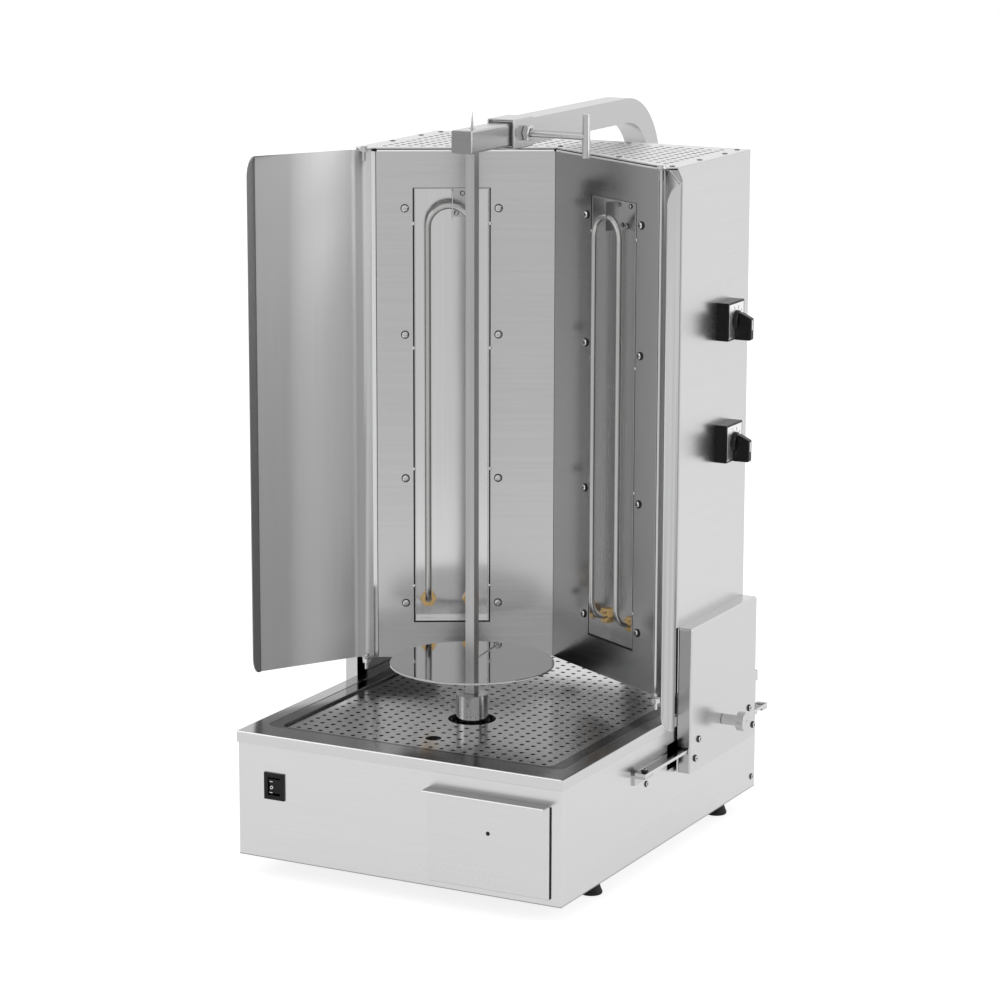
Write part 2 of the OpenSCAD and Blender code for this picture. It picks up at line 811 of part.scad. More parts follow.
sleeve_half = arm_side / 2 + slack / 2 + sleeve_wall;
module arm_sleeve() {
    inner = sleeve_half - sleeve_wall;
    color("gainsboro") difference() {
        union() {
            slab([-sleeve_half, sleeve_half], at(sleeve_front, [0, sleeve_len]),
                at(arm_z, [-sleeve_half, sleeve_half]));
            translate([sleeve_half, clamp_y, arm_z]) rotate([0, 90, 0]) hexagon(clamp_nut_af, clamp_nut_t);
        }
        slab([-inner, inner], at(sleeve_front, [-cut, sleeve_len + cut]), at(arm_z, [-inner, inner]));
        rod_x(clamp_r + fit, [inner - cut, sleeve_half + clamp_nut_t + cut], clamp_y, arm_z);
    }
}

module arm_flange() {
    h = flange_side / 2;
    hole = arm_side / 2 + arm_clear;
    y = at(body_d / 2, [0, flange_t]);
    color("silver") difference() {
        slab([-h, h], y, at(arm_low_z, [-h, h]));
        slab([-hole, hole], y + [-cut, cut], at(arm_low_z, [-hole, hole]));
        for (px = [-1, 1] * flange_bolt_at, pz = [-1, 1] * flange_bolt_at)
            rod_y(flange_bolt_r, px, y + [-cut, cut], arm_low_z + pz);
    }
}

module arm_saddle() {
    h = arm_side / 2;
    y = at(saddle_y, [0, saddle_len]);
    color("darkgray") difference() {
        union() {
            slab([-saddle_w / 2, saddle_w / 2], y, [floor_top, floor_top + saddle_t]);
            both_sides() slab([h, h + saddle_t], y, [floor_top, arm_low_z + h]);
            slab([-h - saddle_t, h + saddle_t], y, [arm_low_z - h - saddle_t, arm_low_z - h]);
        }
        for (px = [-1, 1] * saddle_bolt_x)
            rod_z(foot_bolt_r, px, saddle_y + saddle_len / 2, [floor_top - cut, floor_top + saddle_t + cut]);
    }
}

module fixing_bolts() {
    color("silver") {
        for (px = [-1, 1] * flange_bolt_at, pz = [-1, 1] * flange_bolt_at) {
            rod_y(flange_bolt_r, px, at(body_d / 2, [-flange_bolt_in, flange_t]), arm_low_z + pz);
            translate([px, body_d / 2 + flange_t + flange_bolt_head, arm_low_z + pz]) rotate([90, 0, 0])
                hexagon(flange_bolt_af, flange_bolt_head);
        }
        for (px = [-1, 1] * saddle_bolt_x) translate([px, saddle_y + saddle_len / 2, foot_h]) {
            cylinder(r = foot_bolt_r, h = base_sheet + saddle_t + nut_h);
            translate([0, 0, base_sheet + saddle_t]) hexagon(nut_af, nut_h);
        }
        for (px = [-1, 1] * motor_bolt_at, py = [-1, 1] * motor_bolt_at)
            translate([px, skewer_y + py, gearbox_top + bracket_t]) {
                translate([0, 0, -bracket_t - motor_bolt_deep]) cylinder(r = motor_bolt_r,
                    h = bracket_t + motor_bolt_deep);
                hexagon(motor_bolt_af, motor_bolt_head);
            }
    }
}

// Sliding end of the arm, with the bush for the skewer's point
slider_front = skewer_y - slider_reach;
module slider_tube() {
    h = slider_side / 2;
    w = h - slider_wall;
    color("silver") difference() {
        slab([-h, h], [slider_front, slider_back], at(arm_z, [-h, h]));
        slab([-w, w], [slider_front + slider_wall, slider_back + cut], at(arm_z, [-w, w]));
        rod_z(slider_hole_r, 0, skewer_y, at(arm_z, [-h - cut, 0]));
        rod_z(slider_top_hole_r, 0, skewer_y, at(arm_z, [0, h + cut]));
    }
}

module top_bush() {
    end = slider_side / 2 - slider_wall - slack / 2;
    color("goldenrod") difference() {
        union() {
            rod_z(bush_r, 0, skewer_y, at(arm_z, [-bush_h / 2, bush_h / 2]));
            rod_x(bush_pin_r, [-end, end], skewer_y, arm_z);
        }
        rod_z(journal_r + fit, 0, skewer_y, at(arm_z, [-bush_h / 2 - cut, bush_h / 2 + cut]));
    }
}

module skewer_bar() {
    h = bar_side / 2;
    bar_end = arm_z - journal_half - neck_h;
    top_wall = arm_z + slider_side / 2;
    color("silver") {
        difference() {
            slab([-h, h], at(skewer_y, [-h, h]), [skewer_foot, bar_end]);
            rod_z(journal_r, 0, skewer_y, [bar_end - cut, bar_end + cut]);
        }
        rod_z(journal_r, 0, skewer_y, [bar_end - cut, arm_z + journal_half]);
        translate([0, skewer_y, bar_end]) cylinder(r1 = h, r2 = journal_r, h = neck_h);
        translate([0, skewer_y, arm_z + journal_half])
            cylinder(r1 = journal_r, r2 = point_r, h = top_wall - arm_z - journal_half);
        translate([0, skewer_y, top_wall]) cylinder(r1 = point_r, r2 = tip_r, h = skewer_tip - top_wall);
    }
}

module meat_disc() {
    h = bar_side / 2;
    color("gainsboro") difference() {
        rod_z(disc_r, 0, skewer_y, [disc_top - disc_t, disc_top], $fn = 96);
        slab([-h, h], at(skewer_y, [-h, h]), [disc_top - disc_t - cut, disc_top + cut]);
        translate([0, skewer_y, disc_top - disc_t - cut]) rotate([0, 0, slit_ang])
            translate([0, -slit_w / 2, 0]) cube([disc_r + cut, slit_w, disc_t + 2 * cut]);
    }
}

// Clamp screw of the sliding tube
pad_from = slider_side / 2 + fit;
module clamp_pad() {
    color("goldenrod") rod_x(clamp_r - slack, [pad_from, pad_from + clamp_pad_t], clamp_y, arm_z);
}
module clamp_rod() {
    color("silver") difference() {
        rod_x(clamp_r, [pad_from + clamp_pad_t + fit, clamp_reach], clamp_y, arm_z);
        rod_z(clamp_r, clamp_reach, clamp_y, at(arm_z, [-2 * clamp_r, 2 * clamp_r]));
    }
}
module t_bar() {
    color("silver") rod_z(clamp_r, clamp_reach, clamp_y, at(arm_z, [-t_bar_len / 2, t_bar_len / 2]));
}

// Rails beside the base
rail_far = rail_x + rail_w;
rail_low = rail_top - rail_t;
bracket_y = [[rail_start, rail_start + rail_bracket_len], [rail_back - rail_bracket_rear_len, rail_back]];
rail_screw_y = [rail_start + rail_screw_back, rail_back - rail_bracket_rear_len / 2];
module slide_rails() {
    color("silver") both_sides() difference() {
        slab([rail_x, rail_far], [rail_start, rail_back], [rail_low, rail_top]);
        for (y = rail_screw_y) rod_z(screw_shank_r, rail_x + rail_w / 2, y, [rail_low - cut, rail_top + cut]);
    }
}
module rail_brackets() {
    t = rail_bracket_t;
    color("gainsboro") both_sides() for (i = [0, 1]) difference() {
        union() {
            slab([body_w / 2, rail_x], bracket_y[i], [rail_low - rail_bracket_h, rail_low]);
            slab([body_w / 2, rail_far], bracket_y[i], [rail_low - t, rail_low]);
        }
        rod_z(screw_shank_r, rail_x + rail_w / 2, rail_screw_y[i], [rail_low - t - cut, rail_low + cut]);
    }
}
module rail_screws() {
    color("silver") both_sides() {
        for (y = rail_screw_y) translate([rail_x + rail_w / 2, y, rail_top]) {
            pan_head(rail_screw_r, rail_screw_h);
            translate([0, 0, -rail_t - rail_bracket_t]) cylinder(r = screw_shank_r,
                h = rail_t + rail_bracket_t);
        }
        for (p = wall_screws) head_x(wall_screw_r, wall_screw_h, body_w / 2, p[0], p[1]);
    }
}

module cord_gland() {
    y = body_d / 2;
    color([0.1, 0.1, 0.1]) difference() {
        union() {
            rod_y(gland_body_r, gland_x, at(y, [-gland_in, gland_out]), gland_z);
            translate([gland_x, y + gland_plate, gland_z]) rotate([90, 0, 0]) hexagon(gland_nut_side,
                gland_plate);
            translate([gland_x, y - base_sheet, gland_z]) rotate([90, 0, 0]) hexagon(gland_nut_side,
                gland_plate);
        }
        rod_y(gland_bore_r, gland_x, at(y, [-gland_in - cut, gland_out + cut]), gland_z);
    }
}

// Heater housing: outline shared by its floor and its top plate
module house_outline(corner_y) {
    in = side_x;
    for (s = [-1, 1]) translate([s * pin_x, pin_y]) circle(r = ear_r);
    polygon([[0, vertex_y], [outer_x, outer_y], [pin_x - ear_r, pin_y], [pin_x + ear_r, pin_y],
        [in, corner_y], [in, house_back], [-in, house_back], [-in, corner_y],
        [-pin_x - ear_r, pin_y], [-pin_x + ear_r, pin_y], [-outer_x, outer_y]]);
}

module housing_floor() {
    color("lightgray") translate([0, 0, house_bottom - house_sheet]) linear_extrude(house_sheet) difference() {
        house_outline(side_front);
        for (s = [-1, 1]) translate([s * pin_x, pin_y]) circle(r = pin_r);
        translate([0, (vertex_y + house_back) / 2]) circle(r = cable_hole_r);
    }
}

function vent_front(x) = vertex_y - x * tan(panel_ang);
module top_plate() {
    cols = floor((side_x - vent_side_in) / vent_column);
    color("gainsboro") translate([0, 0, lid_z]) linear_extrude(lid_t) difference() {
        house_outline(side_front - gusset_reach);
        for (s = [-1, 1]) translate([s * pin_x, pin_y]) circle(r = pin_r);
        for (i = [-cols : cols], j = [0 : floor(house_back / vent_pitch)]) {
            x = i * vent_column;
            y = house_back - vent_back_in - j * vent_pitch - (i % 2 == 0 ? 0 : vent_pitch / 2);
            if (y > vent_front(abs(x)) + vent_front_in) translate([x, y]) circle(r = vent_r, $fn = 16);
        }
    }
}

module side_panel(switches) {
    t = house_sheet;
    difference() {
        union() {
            slab([side_x - t, side_x], [side_front, house_back], [house_bottom, lid_z]);
            translate([side_x, side_front, house_bottom]) rotate([0, 0, return_ang])
                translate([-return_len + t, 0, 0]) cube([return_len - t, t, panel_top - house_bottom]);
            translate([side_x - t, 0, 0]) rotate([90, 0, 90]) linear_extrude(t)
                polygon([[side_front, lid_z - gusset_drop], [side_front - gusset_reach, lid_z],
                    [side_front + t, lid_z], [side_front + t, lid_z - gusset_drop]]);
        }
        if (switches) for (z = [switch_low_z, switch_high_z])
            rod_x(switch_neck_r, [side_x - t - cut, side_x + cut], switch_y, z);
    }
}
module side_panel_right() { color("lightgray") side_panel(true); }
module side_panel_left() { color("lightgray") mirror([1, 0, 0]) side_panel(false); }

module housing_back() {
    in = side_x - house_sheet;
    color("lightgray") slab([-in, in], [house_back - house_sheet, house_back], [house_bottom, lid_z]);
}

// Frames of the two burner panels, X to the viewer's right along the panel, Y into it
module right_panel_frame() { translate([0, vertex_y, 0]) rotate([0, 0, -panel_ang]) children(); }
module left_panel_frame() { translate([0, vertex_y, 0]) rotate([0, 0, panel_ang]) children(); }
module right_window() { right_panel_frame() translate([window_near, 0, window_z]) children(); }
module left_window() { left_panel_frame() translate([-window_near - window_w, 0, window_z]) children(); }

module burner_panel(s) {
    t = house_sheet;
    ends = [slack, panel_w - slack];
    x = s > 0 ? ends : [-ends[1], -ends[0]];
    near = s > 0 ? window_near : -window_near - window_w;
    difference() {
        union() {
            slab(x, [0, t], [house_bottom, panel_top]);
            slab(x, [0, panel_flange], [panel_top - t, panel_top]);
        }
        slab(at(near, [0, window_w]), [-cut, t + cut], at(window_z, [0, window_h]));
        for (px = at(near, [-panel_screw_side, window_w + panel_screw_side]), pz = panel_screw_z)
            rod_y(screw_shank_r, px, [-cut, t + cut], window_z + pz);
    }
}
module burner_panel_right() { color("silver") right_panel_frame() burner_panel(1); }
module burner_panel_left() { color("silver") left_panel_frame() burner_panel(-1); }

module reflector() {
    t = fin_t;
    x = [tray_gap_side, window_w - tray_gap_side];
    z = [tray_gap_end, window_h - tray_gap_end];
    difference() {
        slab(x, [0, reflector_d], z);
        slab(x + [t, -t], [-cut, reflector_d - t], z + [t, -t]);
        for (leg = [leg_left, leg_right]) rod_y(gland_r, leg,
            [reflector_d - t - cut, reflector_d + cut], element_foot_z);
    }
}
module reflector_right() { color("whitesmoke") right_window() reflector(); }
module reflector_left() { color("whitesmoke") left_window() reflector(); }

// Element: an arc, two legs, and two feet that turn back through the glands
module element() {
    arc_x = (leg_left + leg_right) / 2;
    foot_y = -element_out + element_foot_r;
    foot_top = element_foot_z + element_foot_r;
    translate([arc_x, -element_out, element_arc_z]) rotate([90, 0, 0])
        rotate_extrude(angle = 180, $fn = 64) translate([element_half, 0]) circle(r = element_r, $fn = 24);
    for (leg = [leg_left, leg_right]) {
        rod_z(element_r, leg, -element_out, [foot_top, element_arc_z], $fn = 24);
        translate([leg, foot_y, foot_top]) rotate([90, 0, 90]) rotate([0, 0, 180])
            rotate_extrude(angle = 90, $fn = 64) translate([element_foot_r, 0]) circle(r = element_r,
                $fn = 24);
        rod_y(element_r, leg, [foot_y, element_tail], element_foot_z, $fn = 24);
    }
}
module element_right() { color("gray") right_window() element(); }
module element_left() { color("gray") left_window() element(); }

module gland_pair() {
    face = reflector_d - fin_t;
    for (leg = [leg_left, leg_right]) translate([leg, 0, element_foot_z]) difference() {
        rotate([-90, 0, 0]) union() {
            translate([0, 0, face - gland_t]) hexagon(gland_af, gland_t);
            translate([0, 0, face]) cylinder(r = gland_r, h = gland_behind);
            translate([0, 0, reflector_d]) hexagon(gland_af, gland_nut_t);
        }
        rotate([-90, 0, 0]) cylinder(r = element_r + fit, h = element_tail);
    }
}
module element_glands() { color("goldenrod") { right_window() gland_pair(); left_window() gland_pair(); } }

module element_holder() {
    back = reflector_d - fin_t;
    arc_x = (leg_left + leg_right) / 2;
    tube_z = element_arc_z + sqrt(pow(element_half, 2) - pow(holder_x + fin_t / 2 - arc_x, 2));
    difference() {
        union() {
            slab([holder_x, holder_x + holder_w], [back - holder_t, back], at(holder_z, [0, holder_h]));
            slab([holder_x, holder_x + fin_t], [-element_out - fin_reach, back], at(holder_z, [0, holder_h]));
        }
        rod_x(element_r + slack, [holder_x - cut, holder_x + fin_t + cut], -element_out, tube_z);
    }
}
module element_holders() { color("gray") { right_window() element_holder(); left_window() element_holder(); } }

module window_screws() {
    for (px = [-panel_screw_side, window_w + panel_screw_side], pz = panel_screw_z) {
        translate([px, 0, pz]) rotate([90, 0, 0]) pan_head(panel_screw_r, panel_screw_h);
        rod_y(screw_shank_r, px, [0, panel_screw_in], pz);
    }
    for (px = [tray_gap_side / 2, window_w - tray_gap_side / 2], pz = rivet_z)
        translate([px, 0, pz]) rotate([90, 0, 0]) cylinder(r = rivet_r, h = rivet_h);
    for (p = holder_screws) translate([holder_x + p[0], reflector_d - fin_t - holder_t, holder_z + p[1]])
        rotate([90, 0, 0]) pan_head(holder_screw_r, holder_screw_h);
}
module panel_screws() { color("silver") { right_window() window_screws(); left_window() window_screws(); } }

// Side covers hide the slide blocks and the lock
module side_cover(front, lock) {
    t = cover_sheet;
    difference() {
        union() {
            slab([cover_in, cover_out], [front, house_back], [cover_bottom, cover_top]);
            slab([side_x, cover_out], [front, house_back], [house_bottom + t, cover_top]);
        }
        slab([side_x - cut, cover_out - t], [front + t, house_back - t], [cover_bottom + t, cover_top - t]);
        slab([cover_in - cut, rail_far + slack], [front - cut, house_back + cut],
            [rail_low - cover_slot_down, rail_top + cover_slot_up]);
        slab([side_x - cut, cover_in], [front - cut, side_front], [house_bottom, cover_top + cut]);
        for (p = cover_screws_at) rod_x(screw_shank_r, [cover_out - t - cut, cover_out + cut], p[0], p[1]);
        if (lock) rod_x(lock_rod_r + slack, [cover_out - t - cut, cover_out + cut], lock_y, lock_z);
    }
}
module side_cover_right() { color("gainsboro") side_cover(cover_front, true); }
module side_cover_left() { color("gainsboro") mirror([1, 0, 0]) side_cover(cover_front_left, false); }

module cover_screws() {
    color("silver") both_sides() for (p = cover_screws_at) {
        head_x(cover_screw_r, cover_screw_h, cover_out, p[0], p[1]);
        rod_x(screw_shank_r, at(cover_out, [-cover_screw_in, 0]), p[0], p[1]);
    }
}

module carriage_plate(lock) {
    y = [block_front, block_back];
    difference() {
        union() {
            slab([cover_in, cover_in + plate_t], y, [plate_low, plate_high]);
            slab([side_x, cover_in + plate_t], y, [house_bottom + cover_sheet, plate_high]);
            if (lock) translate([cover_in + plate_t, lock_y, lock_z]) rotate([0, 90, 0])
                hexagon(lock_nut_af, lock_nut_t);
        }
        if (lock) {
            rod_x(lock_pad_r + slack, [side_x, cover_in + plate_t], lock_y, lock_z);
            rod_x(lock_rod_r + fit, [cover_in, cover_in + plate_t + lock_nut_t + cut], lock_y, lock_z);
        }
    }
}
module carriage_plates() {
    color("darkgray") {
        carriage_plate(true);
        mirror([1, 0, 0]) carriage_plate(false);
    }
}

module slide_blocks() {
    x = [cover_in + plate_t, cover_out - cover_sheet];
    color("white") both_sides() for (y = [block_front, block_back - block_len]) difference() {
        slab(x, [y, y + block_len], [block_low, block_high]);
        slab([x[0] - cut, rail_far + block_slot_gap], [y - cut, y + block_len + cut],
            [rail_low - block_slot_gap, rail_top + block_slot_gap]);
        for (p = cover_screws_at) rod_x(screw_shank_r, [cover_out - cover_screw_in, cover_out], p[0], p[1]);
    }
}

// Slide lock: the pad presses on the base wall
lock_from = body_w / 2 + fit;
module lock_pad() {
    color("goldenrod") rod_x(lock_pad_r, at(lock_from, [0, lock_pad_t]), lock_y, lock_z);
}
module lock_knob() {
    shaft = cover_out + slack;
    color("gainsboro") difference() {
        union() {
            rod_x(lock_rod_r, [lock_from + lock_pad_t + fit, shaft + cut], lock_y, lock_z);
            rod_x(lock_shaft_r, [shaft, shaft + lock_shaft_len], lock_y, lock_z);
            rod_x(lock_cap_r, at(shaft + lock_shaft_len, [0, lock_cap_t]), lock_y, lock_z);
        }
        rod_x(lock_dimple_r, at(shaft + lock_shaft_len + lock_cap_t, [-lock_dimple_d, cut]), lock_y, lock_z);
    }
}

// Rotary switches
module rotary_switches() {
    h = switch_side / 2;
    r = switch_rear_side / 2;
    t = house_sheet;
    color([0.08, 0.08, 0.08]) for (z = [switch_low_z, switch_high_z]) difference() {
        union() {
            slab(at(side_x, [0, switch_d]), at(switch_y, [-h, h]), at(z, [-h, h]));
            rod_x(switch_neck_r, at(side_x, [-t - cut, cut]), switch_y, z);
            slab(at(side_x - t, [-switch_rear_d, 0]), at(switch_y, [-r, r]), at(z, [-r, r]));
        }
        rod_x(spindle_r + fit, at(side_x + switch_d, [-spindle_len - slack, cut]), switch_y, z);
    }
}
module switch_knob(z) {
    face = side_x + switch_d + knob_gap;
    color([0.1, 0.1, 0.1]) {
        rod_x(spindle_r, at(face, [-spindle_len - knob_gap, cut]), switch_y, z);
        rod_x(knob_disc_r, at(face, [0, knob_disc_t]), switch_y, z);
        slab(at(face, [0, knob_bar_d]), at(switch_y, [-knob_bar_w / 2, knob_bar_w / 2]),
            at(z, [-knob_bar_len / 2, knob_bar_len / 2]));
    }
}
module switch_knob_upper() { switch_knob(switch_high_z); }
module switch_knob_lower() { switch_knob(switch_low_z); }

terminal_size = [60, 22, 20];
terminal_x = 70;
module terminal_block() {
    color("ivory") translate([terminal_x, house_back - house_sheet - terminal_size[1], house_bottom])
        cube(terminal_size);
}

// Wings
module hinge_pins() {
    color("silver") both_sides() translate([pin_x, pin_y, 0]) {
        translate([0, 0, lid_z + lid_t]) pan_head(top_pin_head_r, top_pin_head_h);
        translate([0, 0, lid_z + lid_t - top_pin_len]) cylinder(r = pin_r, h = top_pin_len);
        translate([0, 0, wing_low + wing_ear_t + slack]) pan_head(low_pin_head_r, low_pin_head_h);
        translate([0, 0, house_bottom - low_pin_drop]) cylinder(r = pin_r,
            h = low_pin_drop + wing_gap + wing_ear_t + slack);
        translate([0, 0, house_bottom - house_sheet - low_pin_nut_t]) hexagon(low_pin_nut_af, low_pin_nut_t);
    }
}

module wing() {
    t = wing_sheet;
    h = wing_high - wing_low;
    translate([pin_x, pin_y, wing_low]) rotate([0, 0, -wing_ang]) {
        translate([-strip_in, strip_back, 0]) cube([strip_in + strip_out, t, h]);
        for (z = [0, h - wing_ear_t]) translate([0, 0, z]) linear_extrude(wing_ear_t) difference() {
            union() {
                circle(r = wing_ear_r);
                translate([-wing_ear_r, 0]) square([2 * wing_ear_r, strip_back + t]);
            }
            circle(r = pin_r + fit);
        }
        translate([strip_out, strip_back + t, 0]) rotate([0, 0, -wing_bend]) {
            translate([0, -t, 0]) cube([wing_w, t, h]);
            translate([wing_w, 0, 0]) rotate([0, 0, -wing_lip_bend]) rotate([90, 0, 0])
                linear_extrude(t) intersection() {
                    square([wing_lip, h]);
                    union() {
                        translate([0, wing_round]) square([wing_lip, h - 2 * wing_round]);
                        translate([-wing_round, 0]) square([wing_lip, h]);
                        for (z = [wing_round, h - wing_round]) translate([wing_lip - wing_round, z])
                            circle(r = wing_round);
                    }
                }
        }
    }
}
module wing_right() { color("silver") wing(); }
module wing_left() { color("silver") mirror([1, 0, 0]) wing(); }

base_shell();
base_floor();
top_rim();
drip_pan();
grate();
rubber_feet();
foot_bolts();
rocker_housing();
gear_motor();
motor_bracket();
drawer_runners();
arm_tube();
arm_sleeve();
arm_flange();
arm_saddle();
fixing_bolts();
slide_rails();
rail_brackets();
rail_screws();
cord_gland();
drawer_tray();
drawer_front();
rocker_button();
drive_shaft();
drive_coupling();
slider_tube();
top_bush();
skewer_bar();
meat_disc();
clamp_pad();
clamp_rod();
t_bar();
side_panel_right();
side_panel_left();
housing_back();
housing_floor();
top_plate();
burner_panel_right();
burner_panel_left();
reflector_right();
reflector_left();
element_right();
element_left();
element_glands();
element_holders();
panel_screws();
side_cover_right();
side_cover_left();
cover_screws();
carriage_plates();
slide_blocks();
rotary_switches();
terminal_block();
hinge_pins();
wing_right();
wing_left();
switch_knob_upper();
switch_knob_lower();
lock_pad();
lock_knob();
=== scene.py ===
import json
import math

import bmesh
import bpy
from mathutils import Matrix, Vector
from mathutils.bvhtree import BVHTree


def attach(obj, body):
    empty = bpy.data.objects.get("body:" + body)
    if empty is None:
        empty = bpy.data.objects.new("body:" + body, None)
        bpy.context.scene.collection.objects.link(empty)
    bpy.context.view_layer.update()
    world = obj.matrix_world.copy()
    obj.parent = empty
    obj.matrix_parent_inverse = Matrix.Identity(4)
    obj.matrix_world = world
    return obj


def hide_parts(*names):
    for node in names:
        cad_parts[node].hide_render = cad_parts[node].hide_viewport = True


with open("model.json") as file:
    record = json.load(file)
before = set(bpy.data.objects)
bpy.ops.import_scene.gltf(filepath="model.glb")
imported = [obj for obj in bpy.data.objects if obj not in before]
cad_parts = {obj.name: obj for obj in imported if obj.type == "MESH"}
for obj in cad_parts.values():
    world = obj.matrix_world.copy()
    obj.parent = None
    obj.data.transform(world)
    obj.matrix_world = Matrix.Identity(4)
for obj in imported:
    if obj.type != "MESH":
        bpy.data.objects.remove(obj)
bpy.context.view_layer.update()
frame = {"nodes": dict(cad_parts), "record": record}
mm = 0.001
scene = bpy.context.scene


# Shader maths: a Wire is a socket that can stand in a sum

class Wire:
    def __init__(self, tree, socket):
        self.tree, self.socket = tree, socket

    # Any node, from its type, its settings and the values or links of its sockets
    @classmethod
    def node(cls, tree, kind, settings=(), sockets=(), output=0):
        made = tree.nodes.new(kind)
        for name, value in dict(settings).items():
            setattr(made, name, value)
        for place, value in dict(sockets).items():
            if isinstance(value, Wire):
                value.to(made.inputs[place])
            else:
                made.inputs[place].default_value = value
        return cls(tree, made.outputs[output])

    def to(self, socket):
        self.tree.links.new(self.socket, socket)

    def maths(self, operation, left, right):
        return Wire.node(self.tree, "ShaderNodeMath", {"operation": operation}, {0: left, 1: right})

    def __add__(self, other):
        return self.maths("ADD", self, other)

    def __sub__(self, other):
        return self.maths("SUBTRACT", self, other)

    def __rsub__(self, other):
        return self.maths("SUBTRACT", other, self)

    def __mul__(self, other):
        return self.maths("MULTIPLY", self, other)

    __radd__, __rmul__ = __add__, __mul__

    # 0 below the low value, 1 above the high one, and a soft step between them
    def above(self, low, high):
        return Wire.node(self.tree, "ShaderNodeMapRange", {"interpolation_type": "SMOOTHSTEP"},
                         {0: self, 1: low, 2: high})

    def tint(self, dark, light):
        return Wire.node(self.tree, "ShaderNodeMix", {"data_type": "RGBA"},
                         {"Factor": self, 6: (*dark, 1), 7: (*light, 1)}, 2)


def noise(tree, scale, detail=2.0, rough=0.5):
    place = Wire.node(tree, "ShaderNodeTexCoord", output="Object")
    spread = Wire.node(tree, "ShaderNodeMapping", {}, {"Vector": place, "Scale": scale})
    return Wire.node(tree, "ShaderNodeTexNoise", {}, {
        "Vector": spread, "Scale": 1.0, "Detail": detail, "Roughness": rough}, "Fac")


def blank(name):
    made = bpy.data.materials.new(name)
    made.use_nodes = True
    return made, made.node_tree, made.node_tree.nodes["Principled BSDF"]


# Bumps on top of each other, each a height and how deep it is
def bump(tree, shader, layers):
    sockets = {}
    for height, depth in layers:
        last = Wire.node(tree, "ShaderNodeBump", {}, {"Strength": 1.0, "Distance": depth, "Height": height, **sockets})
        sockets = {"Normal": last}
    last.to(shader.inputs["Normal"])


# Brush marks: how fine they are across and along the grain, and how much they change the roughness
brushing = {
    "fineAcross": 1600.0, "fineAlong": 9.0, "broadAcross": 260.0, "broadAlong": 4.0,
    "smudgeSize": (9.0, 9.0, 9.0), "waveSize": (6.0, 6.0, 5.0), "roughSwing": 0.08,
    "streakLow": 0.25, "streakHigh": 0.75,
}


# A brushed sheet or a turned part: streak and smudge are shares, scratch is in mm and wave in cm
def metal(name, tone, rough, grain, streak=0.06, scratch=0.006, wave=0.10, smudge=0.05):
    made, tree, shader = blank(name)
    shader.inputs["Metallic"].default_value = 1.0
    fine = noise(tree, [brushing["fineAlong" if axis else "fineAcross"] for axis in grain], 3.0, 0.6)
    broad = noise(tree, [brushing["broadAlong" if axis else "broadAcross"] for axis in grain])
    cloud = noise(tree, brushing["smudgeSize"], 4.0, 0.6)
    swell = noise(tree, brushing["waveSize"], 1.0)
    strokes = fine * 0.5 + broad * 0.5
    dark = [part * (1 - streak) for part in tone]
    light = [min(1.0, part * (1 + streak)) for part in tone]
    strokes.above(brushing["streakLow"], brushing["streakHigh"]).tint(dark, light).to(shader.inputs["Base Color"])
    swing = brushing["roughSwing"]
    (strokes * swing + cloud * smudge + (rough - swing / 2 - smudge / 2)).to(shader.inputs["Roughness"])
    bump(tree, shader, [(swell, wave * 10 * mm), (fine, scratch * mm), (broad, scratch * 2 * mm)])
    return made


# A moulded plastic, a rubber or a paint: its grain is in mm deep
moulding = {"cloudSize": (22.0, 22.0, 22.0), "grainSwing": 0.12, "cloudSwing": 0.10, "lighter": 1.25}


def plastic(name, tone, rough, grainSize=900.0, depth=0.02, gloss=0.5):
    made, tree, shader = blank(name)
    shader.inputs["Specular IOR Level"].default_value = gloss
    fine = noise(tree, [grainSize] * 3)
    cloud = noise(tree, moulding["cloudSize"], 3.0)
    light = [min(1.0, part * moulding["lighter"] + 0.004) for part in tone]
    cloud.above(0.3, 0.8).tint(tone, light).to(shader.inputs["Base Color"])
    grain, patches = moulding["grainSwing"], moulding["cloudSwing"]
    (fine * grain + cloud * patches + (rough - grain / 2 - patches / 2)).to(shader.inputs["Roughness"])
    bump(tree, shader, [(fine, depth * mm)])
    return made


# The ways of the grain: along one axis, or along both level ones
alongX, alongY, alongZ, level = (1, 0, 0), (0, 1, 0), (0, 0, 1), (1, 1, 0)

